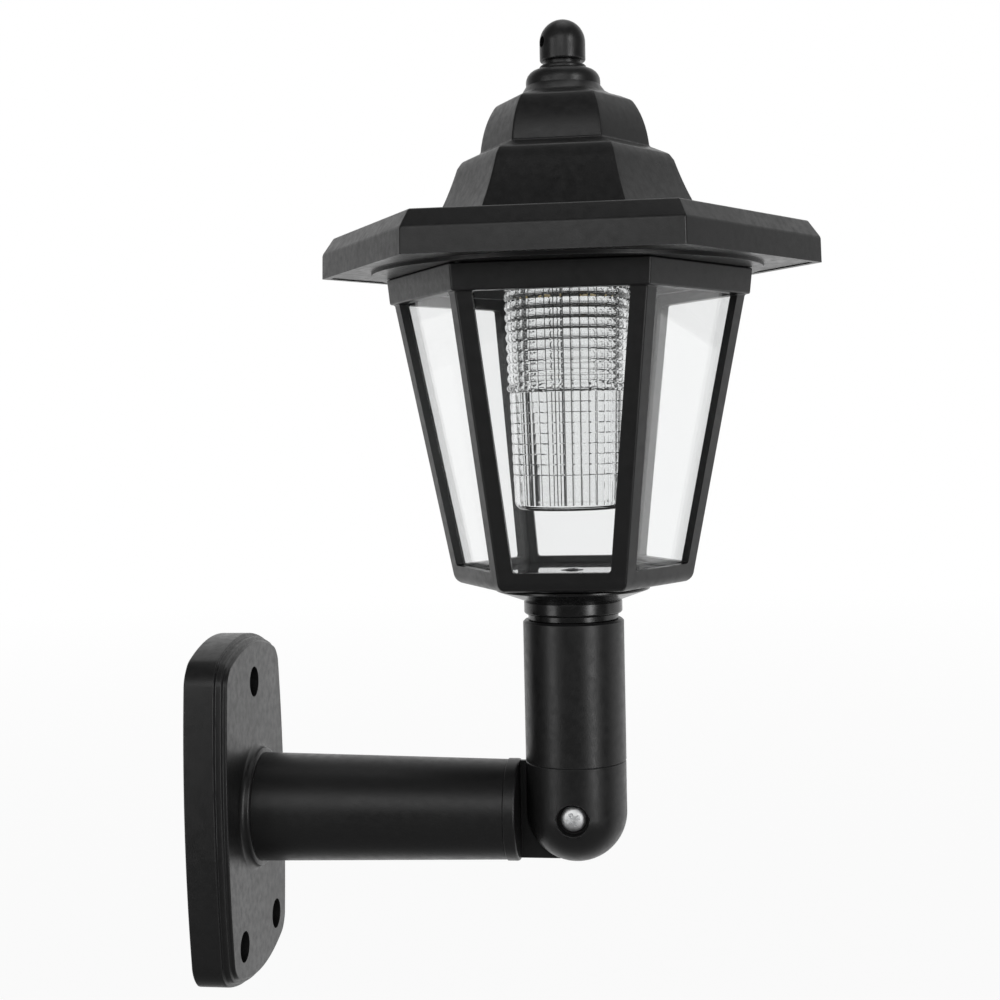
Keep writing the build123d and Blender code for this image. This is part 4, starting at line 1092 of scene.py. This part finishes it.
dark_epoxy = moulded_epoxy()
chip_low = board_high + 0.00005
chip = block((elbow - 0.0020, 0.0074, chip_low + 0.0002), (elbow + 0.0020, 0.0106, chip_low + 0.0016))
soften(chip, 0.0002)
for side in (-1, 1):
    for place in range(4):
        x = elbow - 0.0015 + 0.001 * place
        foot = 0.0090 + side * 0.0016
        leg = block((x - 0.0002, foot - 0.0003, chip_low), (x + 0.0002, foot + 0.0003, chip_low + 0.0002))
        edit(leg)
        pick("FACE", lambda f: (middle(f).z > chip_low + 0.00019))
        pull(0, -side * 0.0002, 0.0006)
        tidy_mesh(leg)
        boolean(chip, leg, "UNION")
coil_height = board_high + 0.00165
windings = [(0.0011, -0.00325), (0.0016, -0.0029), (0.0016, -0.0022)]
for turn in range(9):
    start = -0.0022 + turn * 0.0005
    windings += [(0.00135, start + 0.00002), (0.00148, start + 0.00012), (0.00148, start + 0.00036),
                 (0.00135, start + 0.00046)]
windings += [(0.0016, 0.0023), (0.0016, 0.0029), (0.0011, 0.00325)]
coil = turned([(r, elbow + x) for r, x in windings], "X", (0, -0.010, coil_height), 32)
finish(joined([chip, coil]), "driver_parts", dark_epoxy, "roof", "component_body", "board_components")

# Cell and cradle: one rechargeable cell in a black tray that stands on two legs over the board. A nickel
# plate meets its tip and a cone spring its flat end.
carried("battery_cradle", "battery_cradle_moulding", satin_black, "roof", "black_plastic", ease=0.0002)
cradle_screws = screws(
    0.0024, 0.0017, 0.0012, 0.0090, [(elbow + side * 0.03105, 0, screw_seat) for side in (-1, 1)],
    (0, 0, -1), sides=24)
finish(cradle_screws, "cradle_screws_zinc", zinc, "roof", "zinc_steel", "cradle_screws")


def cell_sleeve(low, high):
    """A green shrink sleeve with a pale band, over a bright steel can that shows at both ends."""
    sleeve, tree, skin, place = blank("cell_sleeve")
    along = add(tree, "SeparateXYZ", {"Vector": place})["X"]
    share = spread(tree, along, low, high, 0, 1)
    covered = reckon(tree, "COMPARE", share, 0.5, 0.478)
    banded = reckon(tree, "COMPARE", share, 0.82, 0.10)
    mottle = noise(tree, place, 240, 4)
    green = blend(tree, mottle, (0.035, 0.20, 0.055, 1), (0.055, 0.27, 0.08, 1))
    printed = blend(tree, banded, green, (0.62, 0.63, 0.58, 1))
    tone = blend(tree, covered, (0.70, 0.70, 0.68, 1), printed)
    steel = reckon(tree, "SUBTRACT", 1.0, covered)
    gloss = spread(tree, mottle, 0.3, 0.7, 0.22, 0.36)
    take(tree, skin, {"Base Color": tone, "Metallic": steel, "Roughness": gloss})
    return sleeve


cell_box_low, cell_box_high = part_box("battery")
cell_middle = (cell_box_low[2] + cell_box_high[2]) / 2
tip = cell_box_high[0]
can_end = tip - 0.0010
can_start = cell_box_low[0]
can_radius = 0.00525
cell = turned(
    [(0.0043, can_start)] + arc(can_radius - 0.0006, can_start + 0.0006, 0.0006, -90, 0, 4)
    + [(can_radius, can_start + 0.0012), (can_radius - 0.0002, can_start + 0.0014),
       (can_radius - 0.0002, can_end - 0.0016), (can_radius, can_end - 0.0013)]
    + arc(can_radius - 0.0006, can_end - 0.0006, 0.0006, 0, 90, 4)
    + [(0.0036, can_end), (0.0034, can_end - 0.0004), (0.0021, can_end - 0.0004), (0.0019, can_end + 0.0003),
       (0.0019, tip - 0.0002), (0.0016, tip)], "X", (0, 0, cell_middle), 64)
finish(cell, "battery_cell", cell_sleeve(can_start, can_end), "roof", "battery_sleeve", "battery")
carried("battery_contact", "battery_contact_plate", zinc, "roof", "zinc_steel", ease=0.0001)
carried("battery_spring", "battery_cone_spring", zinc, "roof", "zinc_steel")

# Switch: a small slide switch on the base plate, whose knob reaches out through a slot under the roof.
carried("switch_body", "slide_switch_body", dark_epoxy, "roof", "component_body", ease=0.0001)
carried("switch_slider", "slide_switch_knob", satin_black, "switch", "black_plastic", ease=0.0001)
